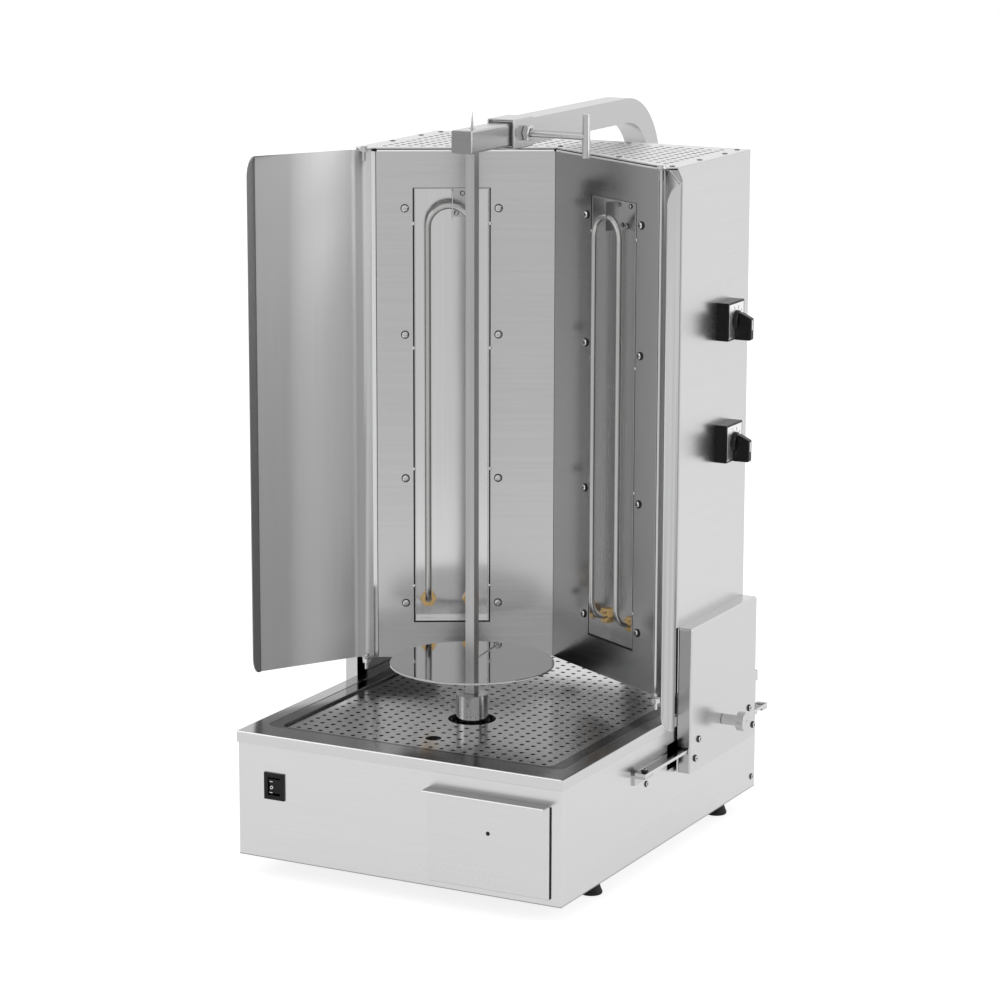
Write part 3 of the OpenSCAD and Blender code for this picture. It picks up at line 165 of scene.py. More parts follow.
# A metal has its tone, roughness and grain, then streak, scratch, wave and smudge
# A plastic has its tone and roughness, then the fineness and depth of its grain and its gloss
# The stainless looks from level to dark are one brushed steel whose tone is set part by part to how bright that part
# shows under this light: their differences in tone are painted light and shade, painted reflection among them, while
# roughness and grain are their own.
looks = {
    "level": metal("steelLevel", (0.56, 0.56, 0.563), 0.20, level, 0.035, 0.004, 0.02),
    "side": metal("steelSide", (0.66, 0.66, 0.663), 0.26, level, 0.02, 0.003, 0.02),
    "cover": metal("steelCover", (0.635, 0.635, 0.638), 0.24, level, 0.02, 0.003, 0.02),
    "front": metal("steelFront", (0.665, 0.665, 0.668), 0.26, level, 0.02, 0.003, 0.02),
    # shade: painted shade, the right burner panel made darker than the left one, which is in level
    "shade": metal("steelPaintedShade", (0.42, 0.42, 0.423), 0.18, level, 0.03, 0.003, 0.015),
    # pan: painted shade, near black on the drip pan under the grate and on the rails' tops
    "pan": metal("steelPan", (0.17, 0.17, 0.172), 0.12, level, 0.02, 0.001, 0.01, 0.03),
    "grate": metal("steelGrate", (0.57, 0.57, 0.573), 0.17, level, 0.02, 0.001, 0.006, 0.03),
    # tray and trayRight: one reflector steel, lighter in the left window and darker in the right one as painted shade
    "tray": metal("steelTray", (0.68, 0.68, 0.683), 0.12, alongZ, 0.03, 0.003, 0.06),
    "trayRight": metal("steelTrayPaintedShade", (0.56, 0.56, 0.563), 0.26, alongZ, 0.03, 0.003, 0.06),
    # edge: painted highlight, near white, for the bright strips along the rim, the drawer lip and the tops of the
    # burner panels
    "edge": metal("steelPaintedHighlight", (0.95, 0.95, 0.95), 0.20, level, 0.02, 0.001, 0.0),
    # screwShade: painted shade, near black, on the flanks of the screw heads and the walls of their cross
    "screwShade": metal("steelScrewShade", (0.05, 0.05, 0.05), 0.30, level, 0.05, 0.003, 0.01),
    # cap: dark steel; on the left wing's lip and the drawer lip's top it is painted shade
    "cap": metal("steelCap", (0.27, 0.27, 0.273), 0.30, alongX, 0.06, 0.006, 0.04),
    # upright and lip: one wing sheet, painted lighter on the left wing and painted darker on the right wing, as painted
    # light and shade
    "upright": metal("steelWingPaintedLight", (0.76, 0.76, 0.763), 0.58, alongZ, 0.02, 0.002, 0.01),
    "lip": metal("steelWingPaintedShade", (0.46, 0.46, 0.463), 0.30, alongZ, 0.03, 0.003, 0.01),
    "coupling": metal("steelCoupling", (0.44, 0.44, 0.443), 0.14, alongZ, 0.10, 0.004, 0.01),
    "bright": metal("steelBright", (0.68, 0.68, 0.683), 0.26, level, 0.02, 0.0015, 0.01),
    # mirror: painted shade on the top faces of the rim
    "mirror": metal("steelMirror", (0.36, 0.36, 0.363), 0.15, level, 0.02, 0.001, 0.006, 0.03),
    "disc": metal("steelDisc", (0.40, 0.40, 0.403), 0.05, level, 0.01, 0.0005, 0.01, 0.02),
    "bar": metal("steelBar", (0.42, 0.42, 0.42), 0.30, alongZ, 0.10, 0.008, 0.03),
    "tube": metal("steelTube", (0.54, 0.54, 0.543), 0.26, alongY, 0.02, 0.003, 0.01),
    "turned": metal("steelTurned", (0.62, 0.62, 0.62), 0.13, level, 0.05, 0.006, 0.01),
    "dark": metal("steelDark", (0.34, 0.34, 0.345), 0.34, level, 0.08, 0.006, 0.05),
    "element": metal("elementSteel", (0.50, 0.497, 0.49), 0.20, alongZ, 0.10, 0.004, 0.02),
    "brass": metal("brassHex", (0.78, 0.54, 0.25), 0.24, level, 0.06, 0.004, 0.01),
    "bronze": metal("bronzeBush", (0.55, 0.42, 0.25), 0.32, level, 0.06, 0.004, 0.01),
    "rubber": plastic("blackRubber", (0.006, 0.006, 0.006), 0.55, 700.0, 0.05, 0.25),
    "black": plastic("blackPlastic", (0.004, 0.004, 0.0045), 0.24, 1100.0, 0.010, 0.22),
    "white": plastic("whitePlastic", (0.74, 0.74, 0.71), 0.45),
    "mark": plastic("markPaint", (0.82, 0.82, 0.80), 0.40),
    "dial": metal("dialPlate", (0.90, 0.90, 0.90), 0.34, level, 0.02, 0.003, 0.0),
    "motor": plastic("motorPaint", (0.06, 0.063, 0.07), 0.42),
}
print("materials made")


# Mesh helpers

def piece(name, mesh, body, look, slotName, replaced=()):
    made = bpy.data.objects.new(name, mesh)
    scene.collection.objects.link(made)
    mesh.materials.clear()
    mesh.materials.append(looks[look])
    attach(made, body)
    if replaced:
        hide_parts(*replaced)
    return made


def fromBmesh(name, made):
    bmesh.ops.recalc_face_normals(made, faces=made.faces[:])
    mesh = bpy.data.meshes.new(name)
    made.to_mesh(mesh)
    made.free()
    return mesh


# Rounds the edges that are sharper than the angle
def soften(made, width, segments=2, angle=32):
    mod = made.modifiers.new("edge", "BEVEL")
    mod.width = width * mm
    mod.segments = segments
    mod.limit_method = "ANGLE"
    mod.angle_limit = math.radians(angle)
    mod.use_clamp_overlap = True
    even = made.modifiers.new("even", "WEIGHTED_NORMAL")
    even.mode = "FACE_AREA_WITH_ANGLE"
    even.weight = 90
    for face in made.data.polygons:
        face.use_smooth = True
    return made


folding = {
    "sharpest": math.radians(35),     # edges flatter than this stay as they are
    "leastSheet": 5.0,                # how wide both sides of a fold are, at least
    "leastLength": 3.0,
    "cutEdge": 0.3,                   # round of an edge that is cut, not folded
}


# The outer folds of a sheet get a wide round, its cut edges a fine one
def folded(made, mesh, fold):
    shape = bmesh.new()
    shape.from_mesh(mesh)
    layer = shape.edges.layers.float.new("bevel_weight_edge")
    for edge in shape.edges:
        if len(edge.link_faces) != 2 or edge.calc_face_angle(0) < folding["sharpest"]:
            continue
        span = edge.calc_length()
        wide = min(face.calc_area() for face in edge.link_faces) / span > folding["leastSheet"] * mm
        isFold = wide and edge.is_convex and span > folding["leastLength"] * mm
        edge[layer] = 1.0 if isFold else min(1.0, folding["cutEdge"] / fold)
    shape.to_mesh(mesh)
    shape.free()
    mod = made.modifiers["edge"]
    mod.limit_method = "WEIGHT"
    mod.width = fold * mm
    mod.segments = 4
    mod.use_clamp_overlap = False


# Faces of a sheet painted darker than the rest of it: painted shade and painted reflection on faces that the light
# falls on differently
paintedShadeFaces = {
    "side_cover_right": ("level", lambda face: face.normal.y < -0.9),
    "side_cover_left": ("level", lambda face: face.normal.y < -0.9),
    "slide_rails": ("pan", lambda face: face.normal.z > 0.9),
    "drawer_front": ("cap", lambda face: face.normal.z > 0.9),
    "top_rim": ("mirror", lambda face: abs(face.normal.z) > 0.9),
    "wing_left": ("cap", lambda face: face.center.x < -0.28),
}


# A CAD sheet with its vertices welded, its flat faces joined and its edges broken
def dressed(node, look, width, fold):
    mesh = frame["nodes"][node].data.copy()
    made = bmesh.new()
    made.from_mesh(mesh)
    bmesh.ops.remove_doubles(made, verts=made.verts[:], dist=2e-6)
    bmesh.ops.dissolve_limit(made, angle_limit=math.radians(0.6), verts=made.verts[:], edges=made.edges[:])
    made.to_mesh(mesh)
    made.free()
    slotName = next(row["material_slot"] for row in frame["record"]["subparts"] if row["node"] == node)
    body = next(name for name, nodes in frame["record"]["behaviour"]["bodies"].items() if node in nodes)
    dress = soften(piece(node + "_made", mesh, body, look, slotName, (node,)), width)
    if fold:
        folded(dress, mesh, fold)
    # The chosen faces take the darker look as painted shade
    if node in paintedShadeFaces:
        shade, takesPaintedShade = paintedShadeFaces[node]
        mesh.materials.append(looks[shade])
        for face in mesh.polygons:
            face.material_index = int(takesPaintedShade(face))


def box(made, low, high):
    low, high = Vector(low) * mm, Vector(high) * mm
    place = Matrix.Translation((low + high) / 2) @ Matrix.Diagonal((*(high - low), 1.0))
    return bmesh.ops.create_cube(made, size=1.0, matrix=place)["verts"]


# A shape spun about its axis, from an outline of radius and height
# A bored one joins the outline's ends, any other one has them closed flat
def lathe(made, outline, axis, place, turns=32, bored=False):
    lone = bmesh.new()
    points = [lone.verts.new((radius * mm, 0, height * mm)) for radius, height in outline]
    nexts = points[1:] + points[:1] if bored else points[1:]
    edges = [lone.edges.new(ends) for ends in zip(points, nexts)]
    bmesh.ops.spin(lone, geom=points + edges, cent=(0, 0, 0), axis=(0, 0, 1), dvec=(0, 0, 0),
                   angle=2 * math.pi, steps=turns, use_merge=True, use_duplicate=False)
    bmesh.ops.remove_doubles(lone, verts=lone.verts[:], dist=1e-7)
    bmesh.ops.holes_fill(lone, edges=[edge for edge in lone.edges if edge.is_boundary], sides=0)
    along = Vector(axis).normalized()
    side = Vector((0, 0, 1)) if abs(along.z) < 0.9 else Vector((1, 0, 0))
    across = side.cross(along).normalized()
    turn = Matrix((across, along.cross(across), along)).transposed().to_4x4()
    bmesh.ops.transform(lone, matrix=Matrix.Translation(Vector(place) * mm) @ turn, verts=lone.verts[:])
    part = fromBmesh("lathe", lone)
    made.from_mesh(part)
    bpy.data.meshes.remove(part)


# A pan head, 1 mm in radius and in height, with a cross cut into its top; its flanks and the cross's walls take painted
# shade
headShape = {
    "outline": ((0, 0), (1.0, 0), (1.0, 0.30), (0.94, 0.50), (0.78, 0.72), (0.5, 0.9), (0, 1.0)),
    "crossReach": 0.55, "crossHalf": 0.13, "crossFloor": 0.45, "crossTop": 1.2,
    # Faces whose normal rises less than steep take painted shade
    "steep": 0.62,                    # a face whose normal rises less than this is dark
}


# The head is cut once and then copied
def headMesh():
    solid = bmesh.new()
    lathe(solid, headShape["outline"], (0, 0, 1), (0, 0, 0))
    head = bpy.data.objects.new("headWork", fromBmesh("headWork", solid))
    cutter = bmesh.new()
    reach, half, low, high = (headShape[key] for key in ("crossReach", "crossHalf", "crossFloor", "crossTop"))
    box(cutter, (-reach, -half, low), (reach, half, high))
    box(cutter, (-half, -reach, low), (half, reach, high))
    tool = bpy.data.objects.new("headTool", fromBmesh("headTool", cutter))
    for thing in (head, tool):
        scene.collection.objects.link(thing)
    mod = head.modifiers.new("cross", "BOOLEAN")
    mod.operation = "DIFFERENCE"
    mod.solver = "EXACT"
    mod.use_self = True
    mod.object = tool
    made = bpy.data.meshes.new_from_object(head.evaluated_get(bpy.context.evaluated_depsgraph_get()))
    for thing in (head, tool):
        bpy.data.objects.remove(thing)
    welded = bmesh.new()              # the cut leaves vertices that lie on each other
    welded.from_mesh(made)
    bmesh.ops.remove_doubles(welded, verts=welded.verts[:], dist=1e-8)
    welded.to_mesh(made)
    welded.free()
    # Steep faces get the second material, which is painted shade
    for face in made.polygons:
        face.material_index = int(abs(face.normal.z) < headShape["steep"])
    return made


screwHead = headMesh()


# Each row is a place, the way the head looks, its radius, its height and how far it is turned
def screws(name, rows, body, replaced=()):
    made = bmesh.new()
    for place, out, radius, height, turn in rows:
        start = len(made.verts)
        made.from_mesh(screwHead)
        made.verts.ensure_lookup_table()
        spun = Matrix.Rotation(math.radians(turn), 4, "Z")
        lean = Vector((0, 0, 1)).rotation_difference(Vector(out)).to_matrix().to_4x4()
        size = Matrix.Diagonal((radius, radius, height, 1.0))
        bmesh.ops.transform(made, matrix=Matrix.Translation(Vector(place) * mm) @ lean @ spun @ size,
                            verts=made.verts[start:])
    mesh = fromBmesh(name, made)
    flanks = [face.material_index for face in mesh.polygons]    # piece() clears them with the materials
    heads = piece(name, mesh, body, "turned", "bright_steel", replaced)
    # The second material is painted shade on the steep faces
    mesh.materials.append(looks["screwShade"])
    mesh.polygons.foreach_set("material_index", flanks)
    soften(heads, 0.12, 1, 40)


print("helpers ready")


# CAD sheets and bars: the look, the round of the edges and the round of the folds
sheets = {
    "base_shell": ("bright", 1.3, 2.2), "top_rim": ("cover", 0.9, 2.0), "drip_pan": ("pan", 0.6, 0),
    "drawer_front": ("front", 0.5, 0), "drawer_tray": ("level", 0.3, 0), "base_floor": ("dark", 0.4, 0),
    "slide_rails": ("bright", 0.4, 0), "rail_brackets": ("level", 0.5, 0),
    "drive_coupling": ("coupling", 0.6, 0), "arm_tube": ("tube", 1.6, 0), "arm_sleeve": ("tube", 0.5, 2.0),
    "arm_flange": ("tube", 0.6, 0), "slider_tube": ("tube", 1.4, 2.5), "skewer_bar": ("bar", 0.7, 0),
    "meat_disc": ("disc", 0.5, 0), "clamp_rod": ("tube", 0.5, 0), "t_bar": ("tube", 0.6, 0),
    "side_panel_right": ("side", 0.5, 1.6), "side_panel_left": ("side", 0.5, 1.6),
    "housing_back": ("level", 0.5, 1.6), "burner_panel_right": ("shade", 0.4, 0),
    "burner_panel_left": ("level", 0.4, 0), "reflector_right": ("trayRight", 0.4, 0),
    "reflector_left": ("tray", 0.4, 0), "element_holders": ("level", 0.3, 0),
    "side_cover_right": ("cover", 0.8, 2.8), "side_cover_left": ("cover", 0.8, 2.8),
    "wing_right": ("lip", 0.4, 0), "wing_left": ("upright", 0.4, 0), "lock_knob": ("turned", 0.6, 0),
    "element_glands": ("brass", 0.5, 0), "fixing_bolts": ("turned", 0.4, 0),
    "rotary_switches": ("black", 1.0, 0), "rocker_housing": ("black", 0.7, 0),
    "rocker_button": ("black", 0.5, 0), "cord_gland": ("black", 0.5, 0),
}
for node, (look, width, fold) in sheets.items():
    dressed(node, look, width, fold)
print("sheets dressed")

# CAD nodes that keep their own mesh
plain = {
    "grate": "grate", "foot_bolts": "turned", "gear_motor": "motor", "motor_bracket": "dark",
    "drawer_runners": "dark", "arm_saddle": "dark", "drive_shaft": "turned", "top_bush": "bronze",
    "clamp_pad": "bronze", "housing_floor": "level", "top_plate": "side", "element_right": "element",
    "element_left": "element", "carriage_plates": "dark", "slide_blocks": "white", "terminal_block": "white",
    "hinge_pins": "turned", "lock_pad": "bronze",
}
for node, look in plain.items():
    data = frame["nodes"][node].data
    data.materials.clear()
    data.materials.append(looks[look])
print("nodes finished")


# Burner windows: screws and rivets round them, and black strips on their rims, a painted shadow of the gap between each
# window and its tray
burnerWindow = {
    "lean": math.radians(29.5),       # of each panel from the housing's front
    "meetY": 132.0,                   # where the two panels meet
    "near": 81.5,                     # from there to the window, along the panel
    "width": 99.0, "height": 566.0, "bottom": 256.0,
}
windowFixings = {
    "screwHeights": (26, 191, 378, 540), "screwBeside": 10, "screwSize": (5.3, 3.4),
    "traySpots": ((55.9, 532), (63.4, 557)), "trayDepth": 15.8, "traySize": (3.2, 2.0),
    "rivetHeights": (48.4, 203, 360.6, 520.6), "rivetInset": 0.75,
    "rivetOutline": ((2.2, 0), (2.2, 0.4), (1.6, 0.75), (0, 0.8)),
}
windowGapShadow = {
    "front": -0.15, "depth": 0.7,     # from the panel's face
    "strips": {-1: {"near": 2.0, "far": 1.8, "bottom": 2.0}, 1: {"near": 1.8, "far": 0, "bottom": 2.6}},
}


# A place beside a window: x to the viewer's right, y into the panel
def atWindow(sign, x, y, z):
    turn = -sign * burnerWindow["lean"]
    near = burnerWindow["near"]
    along = (near if sign > 0 else -near - burnerWindow["width"]) + x
    return (along * math.cos(turn) - y * math.sin(turn),
            burnerWindow["meetY"] + along * math.sin(turn) + y * math.cos(turn), burnerWindow["bottom"] + z)


windowRows, rivets = [], bmesh.new()
wide, tall = burnerWindow["width"], burnerWindow["height"]
for sign in (1, -1):
    out = (-sign * math.sin(burnerWindow["lean"]), -math.cos(burnerWindow["lean"]), 0)
    for k, z in enumerate(windowFixings["screwHeights"]):
        for x in (-windowFixings["screwBeside"], wide + windowFixings["screwBeside"]):
            windowRows.append((atWindow(sign, x, 0, z), out, *windowFixings["screwSize"], 17 * k + x))
    for x, z in windowFixings["traySpots"]:
        windowRows.append((atWindow(sign, x, windowFixings["trayDepth"], z), out, *windowFixings["traySize"], x))
    for z in windowFixings["rivetHeights"]:
        for x in (windowFixings["rivetInset"], wide - windowFixings["rivetInset"]):
            lathe(rivets, windowFixings["rivetOutline"], out, atWindow(sign, x, 0, z), 16)
screws("panel_screw_heads", windowRows, "carriage", ("panel_screws",))
soften(piece("window_rivets", fromBmesh("window_rivets", rivets), "carriage", "turned", "bright_steel"), 0.05, 1, 50)

# Black strips where the gap round each window lies in shade: painted shadow
gapShadows = bmesh.new()
for sign, strip in windowGapShadow["strips"].items():
    spans = [((0, 0), (strip["near"], tall)), ((wide - strip["far"], 0), (wide, tall)),
             ((0, 0), (wide, strip["bottom"]))]
    turn = (Matrix.Translation(Vector(atWindow(sign, 0, 0, 0)) * mm)
            @ Matrix.Rotation(-sign * burnerWindow["lean"], 4, "Z"))
    for (left, foot), (right, head) in spans:
        if right > left:
            fresh = box(gapShadows, (left, windowGapShadow["front"], foot), (right, windowGapShadow["depth"], head))
            bmesh.ops.transform(gapShadows, matrix=turn, verts=fresh)
piece("window_gap_shadows", fromBmesh("window_gap_shadows", gapShadows), "carriage", "rubber", "black_rubber")


# The other screws: radius, height and places; those marked both are on both sides
coverScrews = {"out": 244.0, "size": (4.5, 3.0), "both": ((57, 150), (47, 127.5), (213, 152), (225.5, 126.5))}
railScrews = {"railX": 233, "railTop": 141.5, "radius": 4.5, "railEnds": ((-77, 4.0), (274, 1.2)),
              "wallX": 223, "wallSize": (4.0, 2.2), "wall": ((-51, 117), (272, 41))}
lidScrews = {"top": 873, "size": (3.6, 1.1), "middle": 146,
             "both": ((214, 22), (216, 97), (216, 172), (212, 218), (115, 78), (60, 221))}
backScrews = {"face": 232, "size": (3.6, 2.0), "edgeX": 212, "edge": (225, 440, 650, 858),
              "innerX": 70, "inner": (225, 858)}
screws("cover_screw_heads", [((s * coverScrews["out"], y, z), (s, 0, 0), *coverScrews["size"], y + z)
                             for s in (1, -1) for y, z in coverScrews["both"]], "carriage", ("cover_screws",))
screws("rail_screw_heads",
       [((s * railScrews["railX"], y, railScrews["railTop"]), (0, 0, 1), railScrews["radius"], height, y)
        for s in (1, -1) for y, height in railScrews["railEnds"]]
       + [((s * railScrews["wallX"], y, z), (s, 0, 0), *railScrews["wallSize"], y)
          for s in (1, -1) for y, z in railScrews["wall"]], "base", ("rail_screws",))
screws("lid_screws",
       [((s * x, y, lidScrews["top"]), (0, 0, 1), *lidScrews["size"], x) for s in (1, -1) for x, y in lidScrews["both"]]
       + [((0, lidScrews["middle"], lidScrews["top"]), (0, 0, 1), *lidScrews["size"], 10)], "carriage")
screws("back_screws",
       [((x, backScrews["face"], z), (0, 1, 0), *backScrews["size"], x + z)
        for z in backScrews["edge"] for x in (-backScrews["edgeX"], backScrews["edgeX"])]
       + [((x, backScrews["face"], z), (0, 1, 0), *backScrews["size"], x)
          for z in backScrews["inner"] for x in (-backScrews["innerX"], backScrews["innerX"])], "carriage")
print("screws driven")


# Rocker marks: a stroke, a ring and a double stroke, laid on the button's dish
rockerMarks = {
    "x": -176.1, "strokes": (125.0, 109.1, 111.1), "strokeSize": (4.2, 0.95),
    "ringZ": 117.3, "ringRadii": (1.25, 2.15), "ringTurns": 24,
    "proud": 0.12, "flatY": -280.0,   # how far they stand off the dish, and where they lie if a ray misses it
}
markX = rockerMarks["x"]
button = frame["nodes"]["rocker_button"].data
dish = BVHTree.FromPolygons([vert.co for vert in button.vertices], [face.vertices for face in button.polygons])
marks = bmesh.new()
upright = Matrix.Rotation(math.radians(90), 4, "X")
strokeSize = Matrix.Diagonal([size * mm for size in rockerMarks["strokeSize"]] + [1, 1])
for z in rockerMarks["strokes"]:
    bmesh.ops.create_grid(marks, x_segments=6, y_segments=2, size=0.5,
                          matrix=Matrix.Translation((markX * mm, 0, z * mm)) @ upright @ strokeSize)
for radius in rockerMarks["ringRadii"]:
    bmesh.ops.create_circle(marks, segments=rockerMarks["ringTurns"], radius=radius * mm,
                            matrix=Matrix.Translation((markX * mm, 0, rockerMarks["ringZ"] * mm)) @ upright)
bmesh.ops.bridge_loops(marks, edges=[edge for edge in marks.edges if edge.is_wire])
for vert in marks.verts:
    spot = dish.ray_cast((vert.co.x, -0.4, vert.co.z), (0, 1, 0))[0]
    vert.co.y = (spot.y if spot else rockerMarks["flatY"] * mm) - rockerMarks["proud"] * mm
piece("rocker_marks", fromBmesh("rocker_marks", marks), "rocker", "mark", "white_plastic")


# Rotary switches: a dial plate with strokes, and a lever knob with a pale pointer
rotarySwitch = {
    "heights": {"upper": 667.0, "lower": 512.0}, "y": 160.0, "face": 240.5,
    "plateHalf": 21.5, "plateThick": 0.4,
    "strokeAngles": (-52, -20, 20, 52), "strokeRadius": 17, "strokeHalf": (0.5, 2.4), "strokeLayer": (0.3, 0.48),
    "skirt": ((13.0, 0.5), (13.0, 2.2), (11.6, 4.6), (9.6, 5.8), (0, 5.8)),
    "lever": ((0.8, -24), (20.5, -24), (22.0, -22.5), (22.0, 3.5), (8.5, 10), (0.8, 10)),    # out, up
    "leverHalf": 5.5, "leverTaper": 0.05, "leverRound": 0.7,
    "pointerHalf": 1.0, "pointerSpan": (-11.0, 1.5), "pointerLayer": (21.8, 22.12),
}
y, face, half = rotarySwitch["y"], rotarySwitch["face"], rotarySwitch["plateHalf"]
for name, z in rotarySwitch["heights"].items():
    body = name + "_knob"
    plate = bmesh.new()
    box(plate, (face, y - half, z - half), (face + rotarySwitch["plateThick"], y + half, z + half))
    soften(piece("dial_plate_" + name, fromBmesh("dial_plate", plate), "carriage", "dial", "bright_steel"), 0.15, 1)

    strokes = bmesh.new()
    (back, front), (thin, long) = rotarySwitch["strokeLayer"], rotarySwitch["strokeHalf"]
    for angle in rotarySwitch["strokeAngles"]:
        fresh = box(strokes, (face + back, -thin, rotarySwitch["strokeRadius"] - long),
                    (face + front, thin, rotarySwitch["strokeRadius"] + long))
        spin = Matrix.Translation((0, y * mm, z * mm)) @ Matrix.Rotation(-math.radians(angle), 4, "X")
        bmesh.ops.transform(strokes, matrix=spin, verts=fresh)
    piece("dial_strokes_" + name, fromBmesh("dial_strokes", strokes), "carriage", "black", "black_plastic")

    knob = bmesh.new()
    lathe(knob, rotarySwitch["skirt"], (1, 0, 0), (face, y, z), 40)
    middle = y * mm
    flank = knob.faces.new([knob.verts.new((
        (face + x) * mm, middle - (rotarySwitch["leverHalf"] - rotarySwitch["leverTaper"] * x) * mm, (z + up) * mm))
        for x, up in rotarySwitch["lever"]])
    grown = bmesh.ops.extrude_face_region(knob, geom=[flank])["geom"]
    bmesh.ops.scale(knob, vec=(1, -1, 1), space=Matrix.Translation((0, -middle, 0)),
                    verts=[part for part in grown if isinstance(part, bmesh.types.BMVert)])
    soften(piece("knob_" + name, fromBmesh("knob", knob), body, "black", "black_plastic",
                 ("switch_knob_" + name,)), rotarySwitch["leverRound"], 3)

    pointer = bmesh.new()
    (low, high), (inside, outside) = rotarySwitch["pointerSpan"], rotarySwitch["pointerLayer"]
    box(pointer, (face + inside, y - rotarySwitch["pointerHalf"], z + low),
        (face + outside, y + rotarySwitch["pointerHalf"], z + high))
    piece("pointer_" + name, fromBmesh("pointer", pointer), body, "mark", "white_plastic")


# Feet, flared towards the counter
rubberFoot = {
    "places": ((-195, -146), (195, -146), (-195, 223), (195, 223)), "turns": 40, "round": 0.4,
    "outline": ((0, 0), (13.2, 0), (14.0, 0.8), (14.0, 3.2), (12.6, 6.0), (10.6, 12.0), (9.6, 19.0), (9.4, 26.0),
                (0, 26.0)),
}
feet = bmesh.new()
for x, y in rubberFoot["places"]:
    lathe(feet, rubberFoot["outline"], (0, 0, 1), (x, y, 0), rubberFoot["turns"])
soften(piece("feet", fromBmesh("feet", feet), "base", "rubber", "black_rubber", ("rubber_feet",)), rubberFoot["round"])


# Trim made of plain strips: the lowest and highest corner of each, then its body, look, slot, and
# the width and steps of its rounded edges
trim = {
    # cover_gap_shadows: black strips between the wing's lip and each side cover, a painted shadow of the gap
    "cover_gap_shadows": {"strips": (((222.4, 30.5, 186), (225.4, 32.4, 297)), ((-225.4, 30.5, 186), (-222.4, 32.4, 297))),
                      "of": ("carriage", "rubber", "black_rubber"), "round": (0.3,)},
    # drawer_gap_shadow: black strips round the back of the drawer front, a painted shadow of the gap between the drawer
    # and the base
    "drawer_gap_shadow": {"strips": (((43.7, -284.4, 36), (44.6, -283.2, 148)), ((207.4, -284.4, 35), (209.6, -283.2, 148)),
                               ((44, -284.4, 33.6), (208, -283.2, 34.6))),
                    "of": ("drawer", "rubber", "black_rubber"), "round": (0.2,)},
    # drawer_lip_highlight: a bright strip on the drawer lip's front edge, a painted highlight
    "drawer_lip_highlight": {"strips": (((44.3, -301.2, 148.7), (207.7, -299.9, 150.3)),),
                        "of": ("drawer", "edge", "bright_steel"), "round": (0.6, 3)},
    # rim_highlight: a bright strip along the rim's front fold, a painted highlight
    "rim_highlight": {"strips": (((-223.4, -285.3, 182.4), (223.4, -284.2, 184.2)),),
                 "of": ("base", "edge", "bright_steel"), "round": (0.5, 3)},
    # base_shade_line: dark strips round the foot of the base, painted shade and painted reflection where the bottom
    # fold meets the counter
    "base_shade_line": {"strips": (((-223.2, -283.2, 25.7), (223.2, -282.2, 26.9)),
                            ((-223.2, 282.2, 25.7), (223.2, 283.2, 26.9)),
                            ((-223.2, -282.2, 25.7), (-222.2, 282.2, 26.9)),
                            ((222.2, -282.2, 25.7), (223.2, 282.2, 26.9))),
                 "of": ("base", "dark", "dark_steel"), "round": (0.2, 1)},
    "slider_end": {"strips": (((-13.2, -118.35, 890.8), (13.2, -117.9, 917.2)),),    # closes the sliding tube
                   "of": ("arm_slider", "cap", "brushed_steel"), "round": (0.15, 1)},
}
for name, row in trim.items():
    made = bmesh.new()
    for low, high in row["strips"]:
        box(made, low, high)
    soften(piece(name, fromBmesh(name, made), *row["of"]), *row["round"])


# The plug in the drawer's front
drawerPlug = {
    "place": (126, -285, 104), "turns": 24, "round": 0.1,
    "outline": ((0, -0.8), (1.9, -0.8), (1.9, 0.0), (2.7, 0.1), (2.5, 0.35), (0, 0.4)),
}
plug = bmesh.new()
lathe(plug, drawerPlug["outline"], (0, -1, 0), drawerPlug["place"], drawerPlug["turns"])
soften(piece("drawer_plug", fromBmesh("drawer_plug", plug), "drawer", "rubber", "black_rubber"), drawerPlug["round"])


# The clamp's six-sided nut, bored for its screw
clampNut = {
    "place": (18.5, 13.4, 904), "sides": 6, "round": 0.35,
    "outline": ((6.2, 0.1), (9.4, 0.1), (10.4, 0.9), (10.4, 7.6), (9.4, 8.4), (6.2, 8.4)),
}
nut = bmesh.new()
lathe(nut, clampNut["outline"], (1, 0, 0), clampNut["place"], clampNut["sides"], bored=True)
soften(piece("clamp_nut", fromBmesh("clamp_nut", nut), "base", "turned", "bright_steel"), clampNut["round"])


# Painted highlights: bright strips along the tops of the burner panels, from where the panels meet to their outer ends
panelHighlight = {"along": (1.5, 225.5), "into": (0.1, 1.3), "heights": (867.6, 870.2), "round": (0.5, 3)}
highlightBoxes = bmesh.new()
for sign in (1, -1):
    low, high = zip(sorted(sign * along for along in panelHighlight["along"]), panelHighlight["into"], panelHighlight["heights"])
    turn = (Matrix.Translation((0, burnerWindow["meetY"] * mm, 0))
            @ Matrix.Rotation(-sign * burnerWindow["lean"], 4, "Z"))
    bmesh.ops.transform(highlightBoxes, matrix=turn, verts=box(highlightBoxes, low, high))
soften(piece("panel_highlights", fromBmesh("panel_highlights", highlightBoxes), "carriage", "edge", "bright_steel"),
       *panelHighlight["round"])
print("small pieces made")


# Floor, light and camera

studio = {
    "floorRadius": 12.0, "floorTurns": 96, "floorTone": (0.46, 0.46, 0.46, 1), "floorRough": 0.9,
    "glow": 0.56, "seenGlow": 0.20,   # the paper's own light, and what the camera sees on top of it
    "ahead": (0.5, -0.866, 0), "fallSpan": (0.9, 2.4), "fall": 0.22,    # it falls off towards the camera
    "sky": 0.92, "skyFall": 0.12, "upSpan": (0.0, 0.9), "backGlow": 0.15, "backSpan": (0.35, 0.9),
    "lampTarget": (0, 0, 0.4),
    "lamps": {"softLeft": {"place": (-2.6, -2.6, 2.2), "size": (1.6, 2.2), "power": 12},
              "softRight": {"place": (3.2, 0.6, 1.4), "size": (2.0, 2.0), "power": 22}},
}
white = (1, 1, 1, 1)


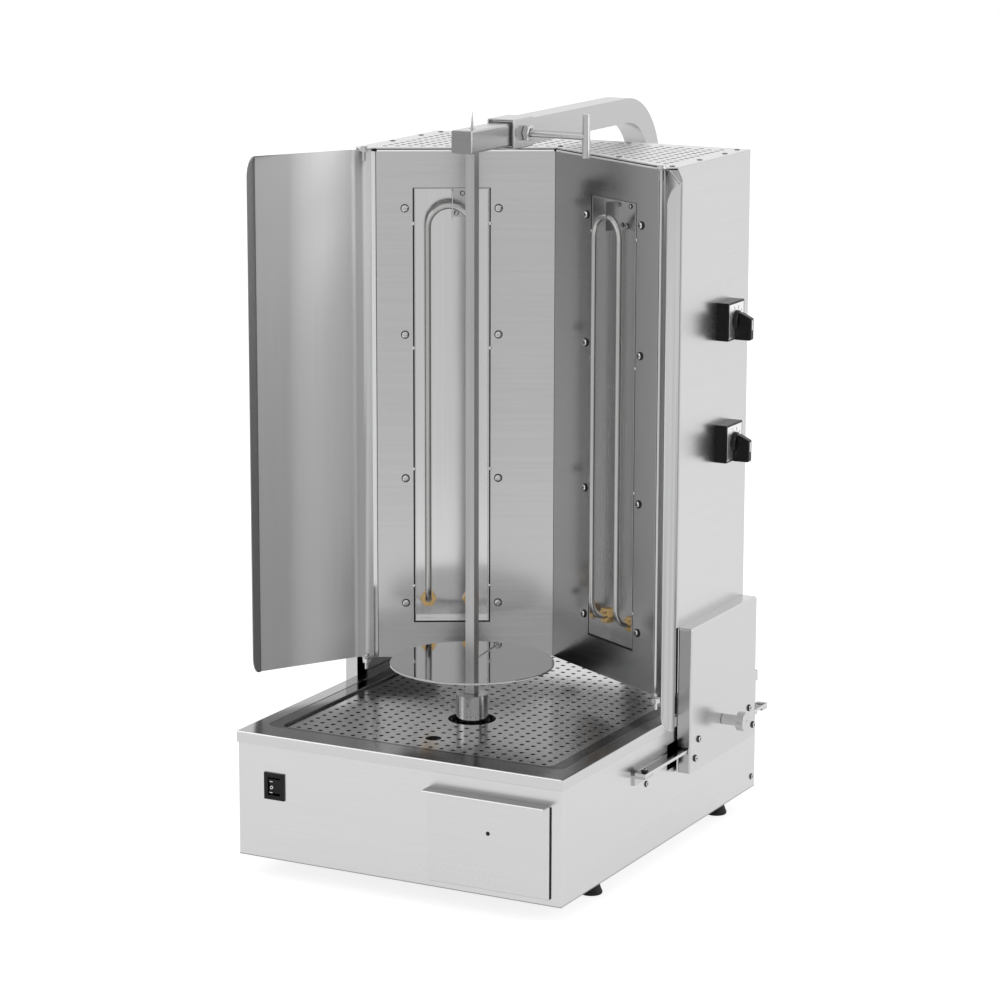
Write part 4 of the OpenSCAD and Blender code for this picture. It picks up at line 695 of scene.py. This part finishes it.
def area(name, place, size, power):
    lamp = bpy.data.lights.new(name, "AREA")
    lamp.shape = "RECTANGLE"
    lamp.size, lamp.size_y = size
    lamp.energy = power
    made = bpy.data.objects.new(name, lamp)
    made.location = place
    made.rotation_euler = (Vector(studio["lampTarget"]) - Vector(place)).to_track_quat("-Z", "Y").to_euler()
    scene.collection.objects.link(made)


# The floor's glow falls off towards the camera, which sees it even
ground = bmesh.new()
bmesh.ops.create_circle(ground, cap_ends=True, segments=studio["floorTurns"], radius=studio["floorRadius"])
floor = bpy.data.objects.new("floor", fromBmesh("floor", ground))
scene.collection.objects.link(floor)
made, tree, shader = blank("floorPaper")
shader.inputs["Base Color"].default_value = studio["floorTone"]
shader.inputs["Roughness"].default_value = studio["floorRough"]
shader.inputs["Specular IOR Level"].default_value = 0.0
shader.inputs["Emission Color"].default_value = white
place = Wire.node(tree, "ShaderNodeTexCoord", output="Object")
ahead = Wire.node(tree, "ShaderNodeVectorMath", {"operation": "DOT_PRODUCT"}, {0: place, 1: studio["ahead"]}, "Value")
fall = ahead.above(*studio["fallSpan"]) * studio["fall"]
seen = Wire.node(tree, "ShaderNodeLightPath", output="Is Camera Ray")
(studio["glow"] - fall + seen * (studio["seenGlow"] + fall)).to(shader.inputs["Emission Strength"])
floor.data.materials.append(made)

# The sky is a little darker overhead and brighter far behind, and the camera sees it white
world = bpy.data.worlds.new("studio")
scene.world = world
world.use_nodes = True
tree = world.node_tree
place = Wire.node(tree, "ShaderNodeTexCoord", output="Generated")
up = Wire.node(tree, "ShaderNodeSeparateXYZ", {}, {0: place}, "Z").above(*studio["upSpan"])
behind = Wire.node(tree, "ShaderNodeSeparateXYZ", {}, {0: place}, "Y").above(*studio["backSpan"])
strength = studio["sky"] - up * studio["skyFall"] + behind * studio["backGlow"]
sky = tree.nodes["Background"]
sky.inputs["Color"].default_value = white
strength.to(sky.inputs["Strength"])
backdrop = Wire.node(tree, "ShaderNodeBackground", {}, {"Color": white, "Strength": 1.0})
seen = Wire.node(tree, "ShaderNodeLightPath", output="Is Camera Ray")
both = Wire.node(tree, "ShaderNodeMixShader", {}, {0: seen, 1: Wire(tree, sky.outputs[0]), 2: backdrop})
both.to(tree.nodes["World Output"].inputs["Surface"])

for name, lamp in studio["lamps"].items():
    area(name, lamp["place"], lamp["size"], lamp["power"])

# The photograph's camera: where it stands, its three directions and its focal length in pixels
camera = {
    "place": (2.00279938, -3.82212091, 1.38112882), "focal": 3517.17, "pixels": 1000, "sensor": 36.0,
    "right": (0.88473144, 0.46609645, 0.00209382), "up": (-0.10085962, 0.18705932, 0.97715718),
    "back": (0.45505782, -0.86473286, 0.21250757), "near": 0.05, "far": 60,
}
lens = bpy.data.cameras.new("camera")
lens.sensor_width = camera["sensor"]
lens.lens = camera["focal"] / camera["pixels"] * camera["sensor"]
lens.clip_start, lens.clip_end = camera["near"], camera["far"]
eye = bpy.data.objects.new("camera", lens)
scene.collection.objects.link(eye)
turn = Matrix([camera[way] for way in ("right", "up", "back")]).transposed().to_4x4()
eye.matrix_world = Matrix.Translation(camera["place"]) @ turn
scene.camera = eye
scene.view_settings.view_transform = "Standard"
scene.view_settings.look = "None"
print("stage set")
